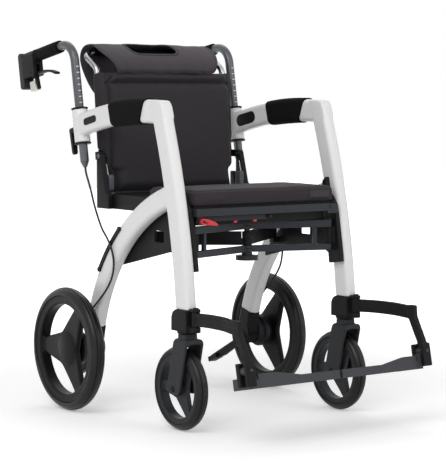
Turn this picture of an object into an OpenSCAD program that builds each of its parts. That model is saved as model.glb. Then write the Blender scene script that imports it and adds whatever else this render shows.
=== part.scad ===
// Rollator that turns into a transport chair.
// +Z is up, the chair faces -Y, the occupant's left is +X and the floor is z = 0.

/* [Side frames] */
// Half distance between the two side frame planes
frame_x = 239.5; // [232:0.5:250]
// Depth of the leg section in the plane of the side
frame_depth = 52; // [46:1:56]
// Width of the frame section across the chair
frame_w = 32; // [28:1:36]
// Corner radius of the frame section
frame_r = 11; // [6:0.5:13]
// Height of the armrest at its highest point
arm_top = 768.5; // [750:0.5:790]
// Thickness of the armrest
arm_depth = 56; // [50:1:60]
// Radius of the armrest's curve
arm_arc_r = 1170; // [1000:10:1400]
// Place of the armrest's highest point along the chair
arm_arc_y = -73; // [-85:1:-60]
// Radius of the front leg's curve
leg_arc_r = 1870; // [1700:10:2000]
// Height at which the front leg's curve runs upright
leg_arc_z = 118; // [100:1:140]
// Foremost point of the front leg's curve
leg_low_y = -241; // [-250:1:-235]
// Radius of the rear leg's curve
rear_arc_r = 481; // [475:1:490]
// Height of the centre of the rear leg's curve
rear_arc_z = 80; // [75:1:85]
// Distance of the rear leg's curve ahead of the axle
rear_leg_set = 4; // [0:0.5:8]
// Rounding of the armrest's front corner
corner_r = 14; // [8:1:20]
// Wall of the armrest pad
pad_t = 3.5; // [2:0.5:5]
// Front end of the armrest pad
pad_front_y = -74; // [-80:1:-65]
// Rear end of the armrest pad
pad_rear_y = 66; // [50:1:80]

/* [Wheels] */
// Diameter of the rear wheels
rear_wheel_d = 305; // [295:1:320]
// Width of the rear tyres
rear_wheel_w = 39; // [34:1:44]
// Half track of the rear wheels
rear_wheel_x = 310.5; // [308:0.5:320]
// Place of the rear axle along the chair
rear_axle_y = 176; // [170:1:182]
// Diameter of the front wheels
front_wheel_d = 196; // [190:1:198]
// Width of the front tyres
front_wheel_w = 33; // [28:1:34]
// Half track of the front wheels
caster_x = 237; // [235:0.5:240]
// Place of the caster's swivel axis along the chair
swivel_y = -236; // [-240:1:-232]
// Distance of the front axle behind the swivel axis
caster_trail = 27; // [20:1:32]
// Thickness of the fork blades
fork_t = 6; // [5:0.5:8]
// Gap beside the front tyre in the fork
fork_gap = 3; // [2:0.5:5]
// Diameter of the axles and stems
axle_d = 12; // [10:0.5:14]

/* [Handles] */
// Backward lean of the handle posts in degrees
handle_lean = 10; // [8:0.5:12]
// Place of the handle's corner along the chair
handle_y = 262.3; // [255:0.1:268]
// Height of the handle's corner
handle_z = 912.4; // [890:0.1:930]
// Diameter of the handle tube
handle_d = 22; // [20:0.5:25]
// Radius of the bend at the top of the handle
bend_r = 50; // [40:1:55]
// Length of the handle post below its socket
post_tail = 47; // [39:1:59]
// Height of the socket's top
socket_top_z = 743; // [735:0.5:750]
// Length of the socket
socket_len = 84; // [75:1:90]
// Outer diameter of the socket
socket_d = 40; // [36:1:44]
// Diameter of the grip
grip_d = 33; // [30:0.5:36]
// Start of the grip behind the corner
grip_start = 62; // [58:1:70]
// Start of the brake housing behind the corner
housing_start = 180; // [175:1:185]
// End of the brake housing behind the corner
housing_end = 236; // [232:1:240]
// Thickness of the grip cap
cap_t = 21.5; // [18:0.5:24]
// Drop of the grip cap below the grip's axis
cap_drop = 78; // [72:1:84]

/* [Seat and backrest] */
// Height of the seat frame's underside
seat_z = 498; // [490:1:505]
// Height of the seat frame's bars
bar_h = 18; // [14:1:20]
// Thickness of the seat base
base_t = 4; // [3:0.5:6]
// Thickness of the seat cushion at its crown
cushion_t = 41; // [34:1:46]
// Half width of the seat cushion
cushion_half = 210; // [200:1:210]
// Front of the seat
seat_front_y = -227; // [-232:1:-222]
// Rear of the seat cushion
cushion_rear_y = -27; // [-40:1:0]
// Rear of the seat frame
seat_rear_y = 124; // [115:1:125]
// Height of the seat box behind the cushion, from the top of the rails
box_h = 18; // [12:1:18]
// Half width of the backrest pad
back_half = 202; // [195:1:202]
// Half width of the backrest's raised field
field_half = 186; // [180:1:188]
// Lower end of the backrest pad
back_low_z = 541; // [535:1:550]
// Height of the backrest pad
back_h = 298; // [285:1:305]
// Backward lean of the backrest in degrees
back_lean = 4.8; // [3:0.1:6]
// Height of the backrest's pivot
back_pivot_z = 627; // [615:1:635]
// Place of the backrest's pivot along the chair
back_pivot_y = 174; // [172:1:176]
// Diameter of the backrest tube
back_tube_d = 16; // [14:0.5:18]
// Half width of the cloth flap
flap_half = 188; // [180:1:192]
// Thickness of the cloth flap
flap_t = 3; // [2:0.5:4]

/* [Footrests] */
// Place of the footrest's pivot pin along the chair
foot_pin_y = -273; // [-276:1:-271]
// Distance from the pivot pin to the down tube
foot_reach = 212; // [205:1:218]
// Height of the footrest arm
foot_arm_h = 31; // [26:1:32]
// Thickness of the footrest arm
foot_arm_t = 13; // [11:0.5:15]
// Outward set of the down tube
foot_set = 17; // [15:0.5:20]
// Height of the footplate's hinge
plate_hinge_z = 176; // [172:1:180]
// Depth of the footplate
plate_depth = 90; // [85:1:100]
// Thickness of the footplate's lip
plate_t = 20; // [16:1:22]
// Upward tilt of the footplate's front in degrees
plate_tilt = 12; // [8:0.5:14]

/* [Fits] */
// Gap between pieces that move past each other
move_gap = 0.5; // [0.3:0.1:0.8]
// Radial gap of a shaft in its bore
shaft_gap = 0.06; // [0.02:0.01:0.1]
// Gap between pieces that seat on each other
seat_gap = 0.2; // [0.1:0.05:0.3]
// Diameter of the hinge pins
pin_d = 8; // [6:0.5:9]

/* [Hidden] */
$fn = 48;
big_fn = 360;

// Colours
white = "#e6e6e4";
black = "#262628";
grey = "#3f4043";
bar_grey = "#3c3f45";
cloth = "#2b282b";
silver = "#b9bbbd";
red = "#d9232b";
cream = "#d8d6cc";

// Centres of the side frame's curves, as [y, z]
arm_c = [arm_arc_y, arm_top - arm_depth / 2 - arm_arc_r];
leg_c = [leg_low_y + leg_arc_r, leg_arc_z];
axle_z = rear_wheel_d / 2;
rear_c = [rear_axle_y - rear_leg_set - sqrt(pow(rear_arc_r, 2) - pow(axle_z - rear_arc_z, 2)), rear_arc_z];
inner_x = frame_x - frame_w / 2;
outer_x = frame_x + frame_w / 2;
weld_step = 0.5;

// Leg block and caster
block_top = 286;
block_low = 235;
block_depth = 62;
block_w = 36;
caster_z = front_wheel_d / 2;
front_axle_y = swivel_y + caster_trail;
crown_top = block_low - move_gap - 5;
fork_half = front_wheel_w / 2 + fork_gap;

// Socket and post of the handle, measured down from its corner
socket_top = (handle_z - socket_top_z) / cos(handle_lean);
post_len = socket_top + socket_len + post_tail;
socket_y = handle_y - (socket_top + socket_len / 2) * sin(handle_lean);

// Housing of the rear axle
housing_angle = 16;
housing_w = frame_w + 3;
boss_r = 31;
brake_r = 41;
brake_step = 8;

// Side plate on the inner face of the frame
plate_thin = 6;
strip_t = 12.5;
strip_depth = 46;
strip_low = 369;
strip_top = 578;
strip_x = inner_x - strip_t;

// Folding gates
post_y = -147;
gate_x = strip_x - 8;
gate_y = -213;
rear_gate_y = 10;
gate_t = 12;
gate_low = [400, 416];
gate_high = [456, 474];
rear_gate = [417, 450];
fold_post_d = 14;
eye_r = 12;

// Seat
base_z = seat_z + bar_h;
cushion_z = base_z + base_t + seat_gap;
rail_half = 194;
rail_w = 16;
bar_depth = 20;
bar_y = seat_front_y;
seat_mid_y = (seat_front_y + cushion_rear_y) / 2;
seat_half_y = (cushion_rear_y - seat_front_y) / 2;
hinge_bar_x = 178;
hinge_pin_x = 187;
hinge_tongue = 8;

// Back posts and backrest
post_in = 208;
post_out = 222;
post_front = seat_rear_y + 3;
eye_back_r = 9;
lug_t = 4.5;
back_field_t = 24;
back_border_t = 18;
channel_up = 256;
field_front_y = 150;
back_thick = back_border_t + back_field_t - 2;
back_face_y = field_front_y + back_thick;
back_tube_y = back_face_y + back_tube_d / 2 + seat_gap;
back_cross_x = 193;
back_bend = 54;
back_bend_up = 306;
back_run = 46;
back_corner_r = 35;
hoop_d = back_tube_d - 1.5;

// Levers of the handle, as [along the grip, up]
lever_pivot = [198, -44];
lever_t = 9;
lever_pin_d = 6;
slot_half = lever_t / 2 + move_gap;
housing_half = 15;
clamp_drop = socket_top + 48;
clamp_shaft_d = 8;

// Footrest
hinge_out = frame_x + foot_set + 1.5;
foot_angle = atan(foot_set / foot_reach);
foot_mid_z = 269;
knuckle = [248, 282.3];
foot_arc_r = 1400;
plate_hinge_y = foot_pin_y - foot_reach - 5;
lug_half = 8.5;
plate_drop = 21;
plate_skin = 4;
plate_outer = 14;

// Slant of the armrest pad's front edge
pad_slant = 16;

// Cable routes at the left side, as [x, y, z]
cable_d = 5;
cable_free = [[239.5, 207.9, 604], [239.5, 206.4, 595.4], [239.6, 202.6, 583], [241, 190, 564], [245, 172, 542], [252, 146, 510],
    [258, 118, 478], [262.5, 92, 452], [262.8, 70, 432], [261.5, 56, 412], [260, 48, 390],
    [258.6, 47, 366], [258.6, 54, 340], [258.6, 70, 316], [258.6, 92, 294], [260, 118, 272],
    [263, 142, 250], [267, 160, 230], [270, 171, 211], [271, 175, 198], [271, 175.6, 185.8]];
cable_gap = 0.3;
cable_mid = 11;
cable_last = len(cable_free) - 1;
cable_drop = post_len + 10.2;
cable_top = [frame_x, handle_y - cable_drop * sin(handle_lean), handle_z - cable_drop * cos(handle_lean)];
cable_low = [cable_free[cable_last][0], rear_axle_y - 0.4, axle_z + brake_r - brake_step + cable_gap];
cable_route = [for (i = [0:cable_last]) cable_free[i]
    + max(0, 1 - i / cable_mid) * (cable_top - cable_free[0])
    + max(0, (i - cable_mid) / (cable_last - cable_mid)) * (cable_low - cable_free[cable_last])];

// Cross-section of the cloth flap from its front hem over the top to its rear hem, as [y, z]
flap_route = [[177, 833.5], [171.5, 845], [173.5, 858], [182, 869], [195, 879.5], [213, 890], [236, 900], [260, 906],
    [282, 905], [300, 897], [310, 884], [312, 868], [305, 849], [292, 828], [277, 810],
    [258, 793], [241, 780], [230, 766], [225.7, 750]];

// Mirrors what is made for the left side to the right
module to_side(side) {
    if (side == "left") children();
    else mirror([1, 0, 0]) children();
}

// Turns a drawing in y and z into a plate along x
module across(x0, x1) {
    translate([x0, 0, 0]) rotate([90, 0, 90]) linear_extrude(height = x1 - x0) children();
}

// A round bar along x
module pin_x(y, z, d, x0, x1) {
    translate([x0, y, z]) rotate([0, 90, 0]) cylinder(d = d, h = x1 - x0);
}

// A round bar along y
module pin_y(x, z, d, y0, y1) {
    translate([x, y1, z]) rotate([90, 0, 0]) cylinder(d = d, h = y1 - y0);
}

// Rectangle with round corners, centred
module round_rect(w, h, r) {
    square([w - 2 * r, h], center = true);
    square([w, h - 2 * r], center = true);
    for (i = [-1, 1], j = [-1, 1]) translate([i * (w / 2 - r), j * (h / 2 - r)]) circle(r);
}

// Bar with round corners bent on a circle in the side plane, between two angles
module arc_bar(centre, radius, from, to, depth, width, r) {
    translate([0, centre[0], centre[1]]) rotate([90, 0, 90]) rotate([0, 0, from])
        rotate_extrude(angle = to - from, $fn = big_fn) translate([radius, 0]) round_rect(depth, width, r);
}

// Upper front crossing point of two circles in the side plane
function meet(c1, r1, c2, r2) =
    let (d = norm(c2 - c1), a = (r1 * r1 - r2 * r2 + d * d) / (2 * d), h = sqrt(r1 * r1 - a * a),
        u = (c2 - c1) / d)
    c1 + a * u + h * [-u[1], u[0]];

// Where the rear leg runs into the front leg
rear_meet = meet(rear_c, rear_arc_r, leg_c, leg_arc_r);
rear_end = atan2(rear_meet[1] - rear_c[1], rear_meet[0] - rear_c[0]) - 1.5;
leg_front = leg_c[0] - sqrt(pow(leg_arc_r, 2) - pow(block_top - leg_c[1], 2)) - frame_depth / 2;

function arm_angle(y) = acos((y - arm_c[0]) / arm_arc_r);
function leg_angle(z) = 180 - asin((z - leg_c[1]) / leg_arc_r);

// Frame of a handle: the origin at its corner, z up the post and y back along the grip
module at_handle() {
    translate([frame_x, handle_y, handle_z]) rotate([-handle_lean, 0, 0]) children();
}

// Oblong with round ends, centred, along the first axis
module oblong(l, w) {
    square([l - w, w], center = true);
    for (i = [-1, 1]) translate([i * (l - w) / 2, 0]) circle(d = w);
}

// Places a drawing on the armrest's side at a distance along the chair
module on_arm(y, x0, x1) {
    a = arm_angle(y);
    translate([0, arm_c[0], arm_c[1]]) rotate([a, 0, 0]) translate([0, arm_arc_r, 0]) across(x0, x1)
        rotate(90) children();
}

insert_y = 160;
insert_l = 58;
insert_w = 17;
inner_insert_l = 80;
inner_insert_w = 30;
insert_depth = 2;

module insert_shapes(gap) {
    on_arm(insert_y, outer_x - insert_depth - gap, outer_x + (gap > 0 ? 1 : 0))
        oblong(insert_l + 2 * gap, insert_w + 2 * gap);
    on_arm(insert_y, inner_x - (gap > 0 ? 1 : 0), inner_x + insert_depth + gap)
        oblong(inner_insert_l + 2 * gap, inner_insert_w + 2 * gap);
}

// Side frame

module corner_cut() {
    r1 = arm_arc_r + arm_depth / 2;
    r2 = leg_arc_r + frame_depth / 2;
    centre = meet(arm_c, r1 - corner_r, leg_c, r2 - corner_r);
    tip = meet(arm_c, r1, leg_c, r2);
    a1 = atan2(centre[1] - arm_c[1], centre[0] - arm_c[0]);
    a2 = atan2(centre[1] - leg_c[1], centre[0] - leg_c[0]);
    steps = 5;
    out = tip + (tip - centre) * 0.5;
    facets = [for (i = [0:steps]) let (a = a1 + (a2 - a1) * i / steps) centre + corner_r * [cos(a), sin(a)]];
    across(inner_x - 1, outer_x + 1) polygon(concat(facets, [facets[steps] + 0.3 * (facets[steps] - centre), out,
        facets[0] + 0.3 * (facets[0] - centre)]));
}

module socket_bore(d) {
    at_handle() translate([0, 0, -post_len - 20]) cylinder(d = d, h = post_len + 20 - bend_r);
}

module frame_body() {
    leg_top = arm_top + 4;
    intersection() {
        translate([frame_x, 0, 0]) arc_bar(leg_c, leg_arc_r, leg_angle(leg_top), leg_angle(block_top - 12),
            frame_depth, frame_w, frame_r);
        pin_x(arm_c[0], arm_c[1], 2 * arm_arc_r + arm_depth - 2 * weld_step, 0, 400, $fn = big_fn);
        translate([0, -500, block_top]) cube([400, 1000, 600]);
    }
    intersection() {
        translate([frame_x, 0, 0]) arc_bar(arm_c, arm_arc_r, arm_angle(socket_y), arm_angle(-165),
            arm_depth, frame_w - 2 * weld_step, frame_r);
        pin_x(leg_c[0], leg_c[1], 2 * leg_arc_r + frame_depth - 2 * weld_step, 0, 400, $fn = big_fn);
    }
    translate([frame_x, 0, 0]) arc_bar(rear_c, rear_arc_r, housing_angle, rear_end, frame_depth, frame_w, frame_r);
    at_handle() translate([0, 0, -socket_top - socket_len]) cylinder(d = socket_d, h = socket_len, $fn = 96);
    at_handle() translate([0, 0, -clamp_drop]) rotate([-90, 0, 0]) cylinder(d = 20, h = socket_d / 2 + 6);
}

module side_frame(side) {
    color(white) to_side(side) difference() {
        frame_body();
        corner_cut();
        socket_bore(handle_d + 2 * shaft_gap);
        at_handle() translate([0, 0, -clamp_drop]) rotate([-90, 0, 0])
            cylinder(d = clamp_shaft_d + 2 * shaft_gap, h = socket_d);
        insert_shapes(seat_gap);
    }
}
module right_side_frame() side_frame("right");
module left_side_frame() side_frame("left");

// Strip beside the front leg, web under the arch with its window, ledge and hinge blocks
module side_plate() {
    window_y = [-118, -80];
    window_z = [431, 458];
    difference() {
        union() {
            intersection() {
                translate([strip_x + strip_t / 2, 0, 0]) arc_bar(leg_c, leg_arc_r, leg_angle(strip_top),
                    leg_angle(strip_low), strip_depth, strip_t, 1.5);
                across(strip_x - 1, inner_x + 1) polygon([[-300, strip_low - 40], [-120, strip_low - 40],
                    [-120, 500], [-205, strip_top], [-300, strip_top]]);
            }
            across(inner_x - plate_thin, inner_x) intersection() {
                translate(rear_c) circle(rear_arc_r - 8, $fn = big_fn);
                polygon([[-224, 375], [-146, 411], [67, 364], [67, 600], [-190, 600]]);
            }
            translate([rail_half - rail_w / 2, -125, seat_z - 10])
                cube([inner_x - rail_half + rail_w / 2 - 1, 40, 10]);
            translate([gate_x - eye_r + 3, gate_y - 9, gate_low[1] + seat_gap])
                cube([strip_x - gate_x + eye_r - 2, 18, gate_high[0] - gate_low[1] - 2 * seat_gap]);
            translate([gate_x - eye_r + 3, rear_gate_y - 9, rear_gate[0] - 14])
                cube([inner_x - gate_x + eye_r - 5, 18, 14 - seat_gap]);
        }
        across(inner_x - plate_thin - 1, inner_x + 1)
            polygon([[window_y[0], window_z[0]], [window_y[1], window_z[0]],
                [window_y[1], window_z[1]], [window_y[0], window_z[1]]]);
        for (y = [gate_y, rear_gate_y]) translate([gate_x, y, strip_low])
            cylinder(d = pin_d + 2 * shaft_gap, h = strip_top - strip_low);
    }
}
module side_plates() color(black) for (s = ["right", "left"]) to_side(s) side_plate();

module armrest_pads() {
    color(black) for (s = ["right", "left"]) to_side(s) translate([frame_x, 0, 0]) intersection() {
        difference() {
            arc_bar(arm_c, arm_arc_r, arm_angle(pad_rear_y + 20), arm_angle(pad_front_y - 20),
                arm_depth + 2 * pad_t, frame_w + 2 * pad_t, frame_r + pad_t);
            arc_bar(arm_c, arm_arc_r, arm_angle(pad_rear_y + 30), arm_angle(pad_front_y - 30),
                arm_depth + 2 * seat_gap, frame_w + 2 * seat_gap, frame_r + seat_gap);
        }
        across(-frame_w, frame_w) polygon([[pad_front_y + pad_slant, 690], [pad_rear_y - pad_slant / 2, 680],
            [pad_rear_y + pad_slant / 2, 790], [pad_front_y - pad_slant, 790]]);
    }
}

module arm_inserts() color(black) for (s = ["right", "left"]) to_side(s) insert_shapes(0);

module socket_collars() {
    collar_h = 4;
    color(black) for (s = ["right", "left"]) to_side(s) at_handle()
        for (z = [-socket_top, -socket_top - socket_len - collar_h]) translate([0, 0, z]) difference() {
            cylinder(d = socket_d + 2, h = collar_h, $fn = 96);
            translate([0, 0, -1]) cylinder(d = handle_d + 2 * shaft_gap, h = collar_h + 2);
        }
}

// Strip along the rear leg's back edge with a boss at each end
module cable_guides() {
    guide_w = 12;
    guide_t = 3.5;
    from = 33;
    to = 49;
    r = rear_arc_r + frame_depth / 2 - guide_w / 2 - 2;
    color(black) for (s = ["right", "left"]) to_side(s) {
        translate([outer_x + guide_t / 2, 0, 0]) arc_bar(rear_c, r, from, to, guide_w, guide_t, 1.5);
        for (a = [from, to]) pin_x(rear_c[0] + r * cos(a), rear_c[1] + r * sin(a), guide_w, outer_x, outer_x + guide_t + 1);
    }
}

// Swept tube of 8 sides along a route smoothed through its points
function spline(p, i, t) =
    let (a = p[max(i - 1, 0)], b = p[i], c = p[min(i + 1, len(p) - 1)], d = p[min(i + 2, len(p) - 1)])
    0.5 * ((2 * b) + (c - a) * t + (2 * a - 5 * b + 4 * c - d) * t * t + (3 * b - a - 3 * c + d) * t * t * t);
function smooth(p, n) = concat([for (i = [0:len(p) - 2], k = [0:n - 1]) spline(p, i, k / n)], [p[len(p) - 1]]);
function unit(v) = v / norm(v);
function tube_points(p, d, n) = [for (i = [0:len(p) - 1])
    let (t = unit(p[min(i + 1, len(p) - 1)] - p[max(i - 1, 0)]), u = unit(cross(t, [1, 0, 0])), w = cross(t, u))
    for (k = [0:n - 1]) p[i] + d / 2 * (u * cos(360 * k / n) + w * sin(360 * k / n))];
// Triangles that close a stack of m rings of n points, with a centre point at each end
function loft_faces(n, m) = concat(
    [for (i = [0:m - 2], j = [0:n - 1]) [i * n + j, (i + 1) * n + j, (i + 1) * n + (j + 1) % n]],
    [for (i = [0:m - 2], j = [0:n - 1]) [i * n + j, (i + 1) * n + (j + 1) % n, i * n + (j + 1) % n]],
    [for (j = [0:n - 1]) [n * m, j, (j + 1) % n]],
    [for (j = [0:n - 1]) [n * m + 1, (m - 1) * n + (j + 1) % n, (m - 1) * n + j]]);

module brake_cable(side) {
    sides = 8;
    p = smooth(cable_route, 3);
    pts = concat(tube_points(p, cable_d, sides), [p[0], p[len(p) - 1]]);
    color(black) to_side(side) polyhedron(pts, loft_faces(sides, len(p)));
}
module right_brake_cable() brake_cable("right");
module left_brake_cable() brake_cable("left");

// Rear axle

module axle_housings() {
    color(black) for (s = ["right", "left"]) to_side(s) difference() {
        union() {
            translate([frame_x, 0, 0]) arc_bar(rear_c, rear_arc_r, 6, housing_angle, frame_depth, housing_w, frame_r);
            pin_x(rear_axle_y, axle_z, 2 * boss_r, frame_x - housing_w / 2, frame_x + housing_w / 2 + 2, $fn = 96);
        }
        pin_x(rear_axle_y, axle_z, axle_d + 2 * shaft_gap, frame_x - housing_w, frame_x + housing_w);
        pin_x(rear_axle_y, axle_z, 20, frame_x - housing_w, frame_x - housing_w / 2 + 4);
    }
}

module brake_plates() {
    plate_in = frame_x + housing_w / 2 + 2;
    plate_out = rear_wheel_x - rear_wheel_w / 2 - 3;
    color(grey) for (s = ["right", "left"]) to_side(s) difference() {
        union() {
            pin_x(rear_axle_y, axle_z, 2 * (brake_r - brake_step), plate_in, plate_out - 14, $fn = 96);
            pin_x(rear_axle_y, axle_z, 2 * brake_r, plate_out - 14, plate_out, $fn = 96);
        }
        pin_x(rear_axle_y, axle_z, axle_d + 2 * shaft_gap, plate_in - 1, plate_out + 1);
    }
}

module rear_axles() {
    color(silver) for (s = ["right", "left"]) to_side(s) {
        pin_x(rear_axle_y, axle_z, axle_d, frame_x - housing_w / 2, rear_wheel_x + 10);
        pin_x(rear_axle_y, axle_z, 19, frame_x - housing_w / 2 - 3, frame_x - housing_w / 2 + 4 - seat_gap, $fn = 6);
    }
}

// Foot lever behind each axle, for tipping the chair over a kerb
module kerb_pedals() {
    pedal_x = frame_x - housing_w / 2 - 10;
    color(black) for (s = ["right", "left"]) to_side(s) difference() {
        union() {
            across(pedal_x, pedal_x + 10 - seat_gap) {
                translate([rear_axle_y, axle_z])
                    polygon([[-12, -24.5], [12, -18.5], [124, -76.5], [120, -90.5], [64, -68.5]]);
                translate([rear_axle_y, axle_z - 12.5]) circle(r = 13);
            }
            across(pedal_x - 8, pedal_x + 16) translate([rear_axle_y, axle_z])
                polygon([[92, -66.5], [128, -81.5], [124, -93.5], [90, -78.5]]);
        }
        pin_x(rear_axle_y, axle_z, 22, pedal_x - 1, pedal_x + 11);
    }
}

// Front leg block and caster

module leg_blocks() {
    back = swivel_y + block_depth / 2 + 8;
    front = swivel_y - block_depth / 2 + 8;
    chamfer = 18;
    color(black) for (s = ["right", "left"]) to_side(s) difference() {
        union() {
            across(frame_x - block_w / 2, frame_x + block_w / 2) polygon([[front, block_low], [back, block_low],
                [back, block_top - chamfer], [back - chamfer / 3, block_top - chamfer / 3],
                [back - chamfer, block_top], [front, block_top]]);
            translate([caster_x, swivel_y, block_low - 5]) cylinder(d = 48, h = 6);
            for (z = [[block_low, knuckle[0] - seat_gap], [knuckle[1] + seat_gap, block_top + 4]]) {
                translate([frame_x, foot_pin_y, z[0]]) cylinder(d = 22, h = z[1] - z[0]);
                translate([frame_x - 11, foot_pin_y, z[0]])
                    cube([22, leg_front - move_gap - foot_pin_y, z[1] - z[0]]);
                translate([frame_x - 10.5, foot_pin_y, z[0]])
                    cube([21, front - foot_pin_y + 4, min(z[1], block_top - 0.5) - z[0]]);
            }
        }
        translate([caster_x, swivel_y, block_low - 6]) cylinder(d = axle_d + 2 * shaft_gap, h = 47);
        translate([frame_x, foot_pin_y, block_low - 1]) cylinder(d = pin_d + 2 * shaft_gap, h = 80);
        translate([frame_x, foot_pin_y, knuckle[0] - seat_gap]) cylinder(d = 24, h = knuckle[1] - knuckle[0] + 2 * seat_gap);
    }
}

// Pins of the gates, of the seat hinge and of the footrests
module hinge_pins() {
    color(silver) {
        for (s = ["right", "left"]) to_side(s) {
            translate([gate_x, gate_y, gate_low[0] - 4]) cylinder(d = pin_d, h = gate_high[1] - gate_low[0] + 8);
            translate([gate_x, rear_gate_y, rear_gate[0] - 14]) cylinder(d = pin_d, h = rear_gate[1] - rear_gate[0] + 18);
            translate([frame_x, foot_pin_y, block_low]) cylinder(d = pin_d, h = block_top + 6 - block_low);
            translate([frame_x, foot_pin_y, block_top + 4]) cylinder(d = pin_d + 5, h = 3);
        }
        pin_y(hinge_pin_x, seat_z + bar_h / 2, pin_d - 2, bar_y - bar_depth / 2 - 1, bar_y + bar_depth / 2 + 1);
    }
}

module caster_fork(side) {
    reach_z = caster_z - 15;
    color(grey) to_side(side) difference() {
        union() {
            intersection() {
                translate([caster_x, 0, 0]) rotate([90, 0, 0]) linear_extrude(height = 1000, center = true) difference() {
                    translate([0, (reach_z + crown_top - 12) / 2])
                        round_rect(2 * (fork_half + fork_t), crown_top - 12 - reach_z, 9);
                    translate([0, (reach_z + crown_top - 12) / 2 - 40 - 12])
                        round_rect(2 * fork_half, crown_top - 12 - reach_z + 80, 8);
                }
                across(caster_x - 60, caster_x + 60) {
                    polygon([[swivel_y - 26, crown_top - 10], [swivel_y + 20, crown_top - 10], [swivel_y + 25, crown_top - 26],
                        [front_axle_y + 21.3, caster_z + 6.4], [front_axle_y + 6, caster_z - 13.9],
                        [front_axle_y - 14, caster_z - 12.9], [front_axle_y - 29.3, caster_z - 1.2],
                        [swivel_y - 29, crown_top - 24]]);
                    translate([front_axle_y + 6, caster_z + 2]) circle(r = 16);
                    translate([front_axle_y - 14, caster_z + 3]) circle(r = 16);
                }
            }
            translate([caster_x, swivel_y, crown_top - 14]) linear_extrude(height = 14) round_rect(36, 34, 6);
            translate([caster_x, swivel_y, crown_top - 2]) cylinder(d = axle_d, h = 45);
        }
        pin_x(front_axle_y, caster_z, pin_d + 2 * shaft_gap, caster_x - 50, caster_x + 50);
    }
}
module right_caster_fork() caster_fork("right");
module left_caster_fork() caster_fork("left");

module front_axle(side) {
    end = fork_half + fork_t;
    color(silver) to_side(side) {
        pin_x(front_axle_y, caster_z, pin_d, caster_x - end, caster_x + end);
        for (x = [caster_x - end - 3, caster_x + end]) difference() {
            pin_x(front_axle_y, caster_z, 14, x, x + 3);
            pin_x(front_axle_y, caster_z, 5, x - 1, x + 4, $fn = 6);
        }
    }
}
module right_front_axle() front_axle("right");
module left_front_axle() front_axle("left");

// Wheels, made round the x axis at the origin

module spin() rotate([90, 0, 90]) rotate_extrude($fn = 180) children();

// Round tyre on a flat bed, with two grooves in its tread
module tyre(d, w, t) {
    groove = w / 14;
    spin() difference() {
        translate([d / 2 - w / 2, 0]) circle(d = w, $fn = 96);
        translate([0, -w]) square([d / 2 - t, 2 * w]);
        for (i = [-1, 1]) translate([d / 2 - groove, i * w / 5 - groove / 2]) square([2 * groove, groove]);
    }
}

// Rim ring with three flared spokes and a domed hub
module rim(r_out, r_in, w, hub_r, hub_w, spoke_w, dome, bore, blind) {
    plate = w * 0.45;
    difference() {
        union() {
            spin() {
                translate([(r_in + r_out) / 2, 0]) square([r_out - r_in, w], center = true);
                translate([r_out - 2, w / 2 - 2]) square([2, 4]);
            }
            across(-plate / 2, plate / 2) polygon([for (a = [0, 120, 240]) each [hub_r * [cos(a - 60), sin(a - 60)],
                [(r_in + 3) * cos(a) + spoke_w / 2 * sin(a), (r_in + 3) * sin(a) - spoke_w / 2 * cos(a)],
                [(r_in + 3) * cos(a) - spoke_w / 2 * sin(a), (r_in + 3) * sin(a) + spoke_w / 2 * cos(a)]]]);
            pin_x(0, 0, 2 * hub_r * 0.62, -hub_w / 2, plate / 2, $fn = 96);
            if (dome > 0) spin() intersection() {
                translate([0, plate / 2 - 2]) square([hub_r * 0.93, dome + 2]);
                translate([0, plate / 2 + dome - 3 * hub_r]) circle(3 * hub_r, $fn = 360);
            }
            else pin_x(0, 0, 2 * hub_r * 0.62, 0, hub_w / 2, $fn = 96);
        }
        pin_x(0, 0, bore, -hub_w, blind);
    }
}

module front_tyre(side) {
    color(black) to_side(side) translate([caster_x, front_axle_y, caster_z]) tyre(front_wheel_d, front_wheel_w, 14);
}
module right_front_tyre() front_tyre("right");
module left_front_tyre() front_tyre("left");

module front_rim(side) {
    r = front_wheel_d / 2 - 14 - seat_gap / 2;
    color(grey) to_side(side) translate([caster_x, front_axle_y, caster_z])
        rim(r, r - 14, front_wheel_w - 7, 27, 2 * fork_half - 2, 17, 0, pin_d + 2 * shaft_gap, 60);
}
module right_front_rim() front_rim("right");
module left_front_rim() front_rim("left");

module rear_tyre(side) {
    color(black) to_side(side) translate([rear_wheel_x, rear_axle_y, axle_z]) tyre(rear_wheel_d, rear_wheel_w, 19);
}
module right_rear_tyre() rear_tyre("right");
module left_rear_tyre() rear_tyre("left");

module rear_rim(side) {
    r = rear_wheel_d / 2 - 19 - seat_gap / 2;
    color(black) to_side(side) translate([rear_wheel_x, rear_axle_y, axle_z])
        rim(r, r - 22, rear_wheel_w - 8, 46, rear_wheel_w - 2, 34, 9, axle_d + 2 * shaft_gap, 11);
}
module right_rear_rim() rear_rim("right");
module left_rear_rim() rear_rim("left");

// Folding gates under the seat

// Bar between two upright axes, with an eye at its second end only over part of its height
module gate_bar(from, to, z, eye) {
    v = to - from;
    l = norm(v);
    translate([from[0], from[1], 0]) rotate([0, 0, atan2(v[1], v[0])]) {
        translate([0, -gate_t / 2, z[0]]) cube([l - eye_r - 1, gate_t, z[1] - z[0]]);
        translate([l / 2, -gate_t / 2, eye[0]]) cube([l / 2, gate_t, eye[1] - eye[0]]);
        translate([l, 0, eye[0]]) cylinder(r = eye_r, h = eye[1] - eye[0]);
        translate([0, 0, z[0]]) cylinder(r = gate_t / 2 + 1, h = z[1] - z[0]);
    }
}

// Halves of a bar's height, so that the eyes of the two sides stack on the post
function half(z, upper) = upper ? [(z[0] + z[1]) / 2 + seat_gap, z[1]] : [z[0], (z[0] + z[1]) / 2 - seat_gap];

module gate_holes(y) {
    translate([gate_x, y, strip_low]) cylinder(d = pin_d + 2 * shaft_gap, h = 200);
    translate([0, post_y, strip_low]) cylinder(d = fold_post_d + 2 * shaft_gap, h = 200);
}

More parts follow.
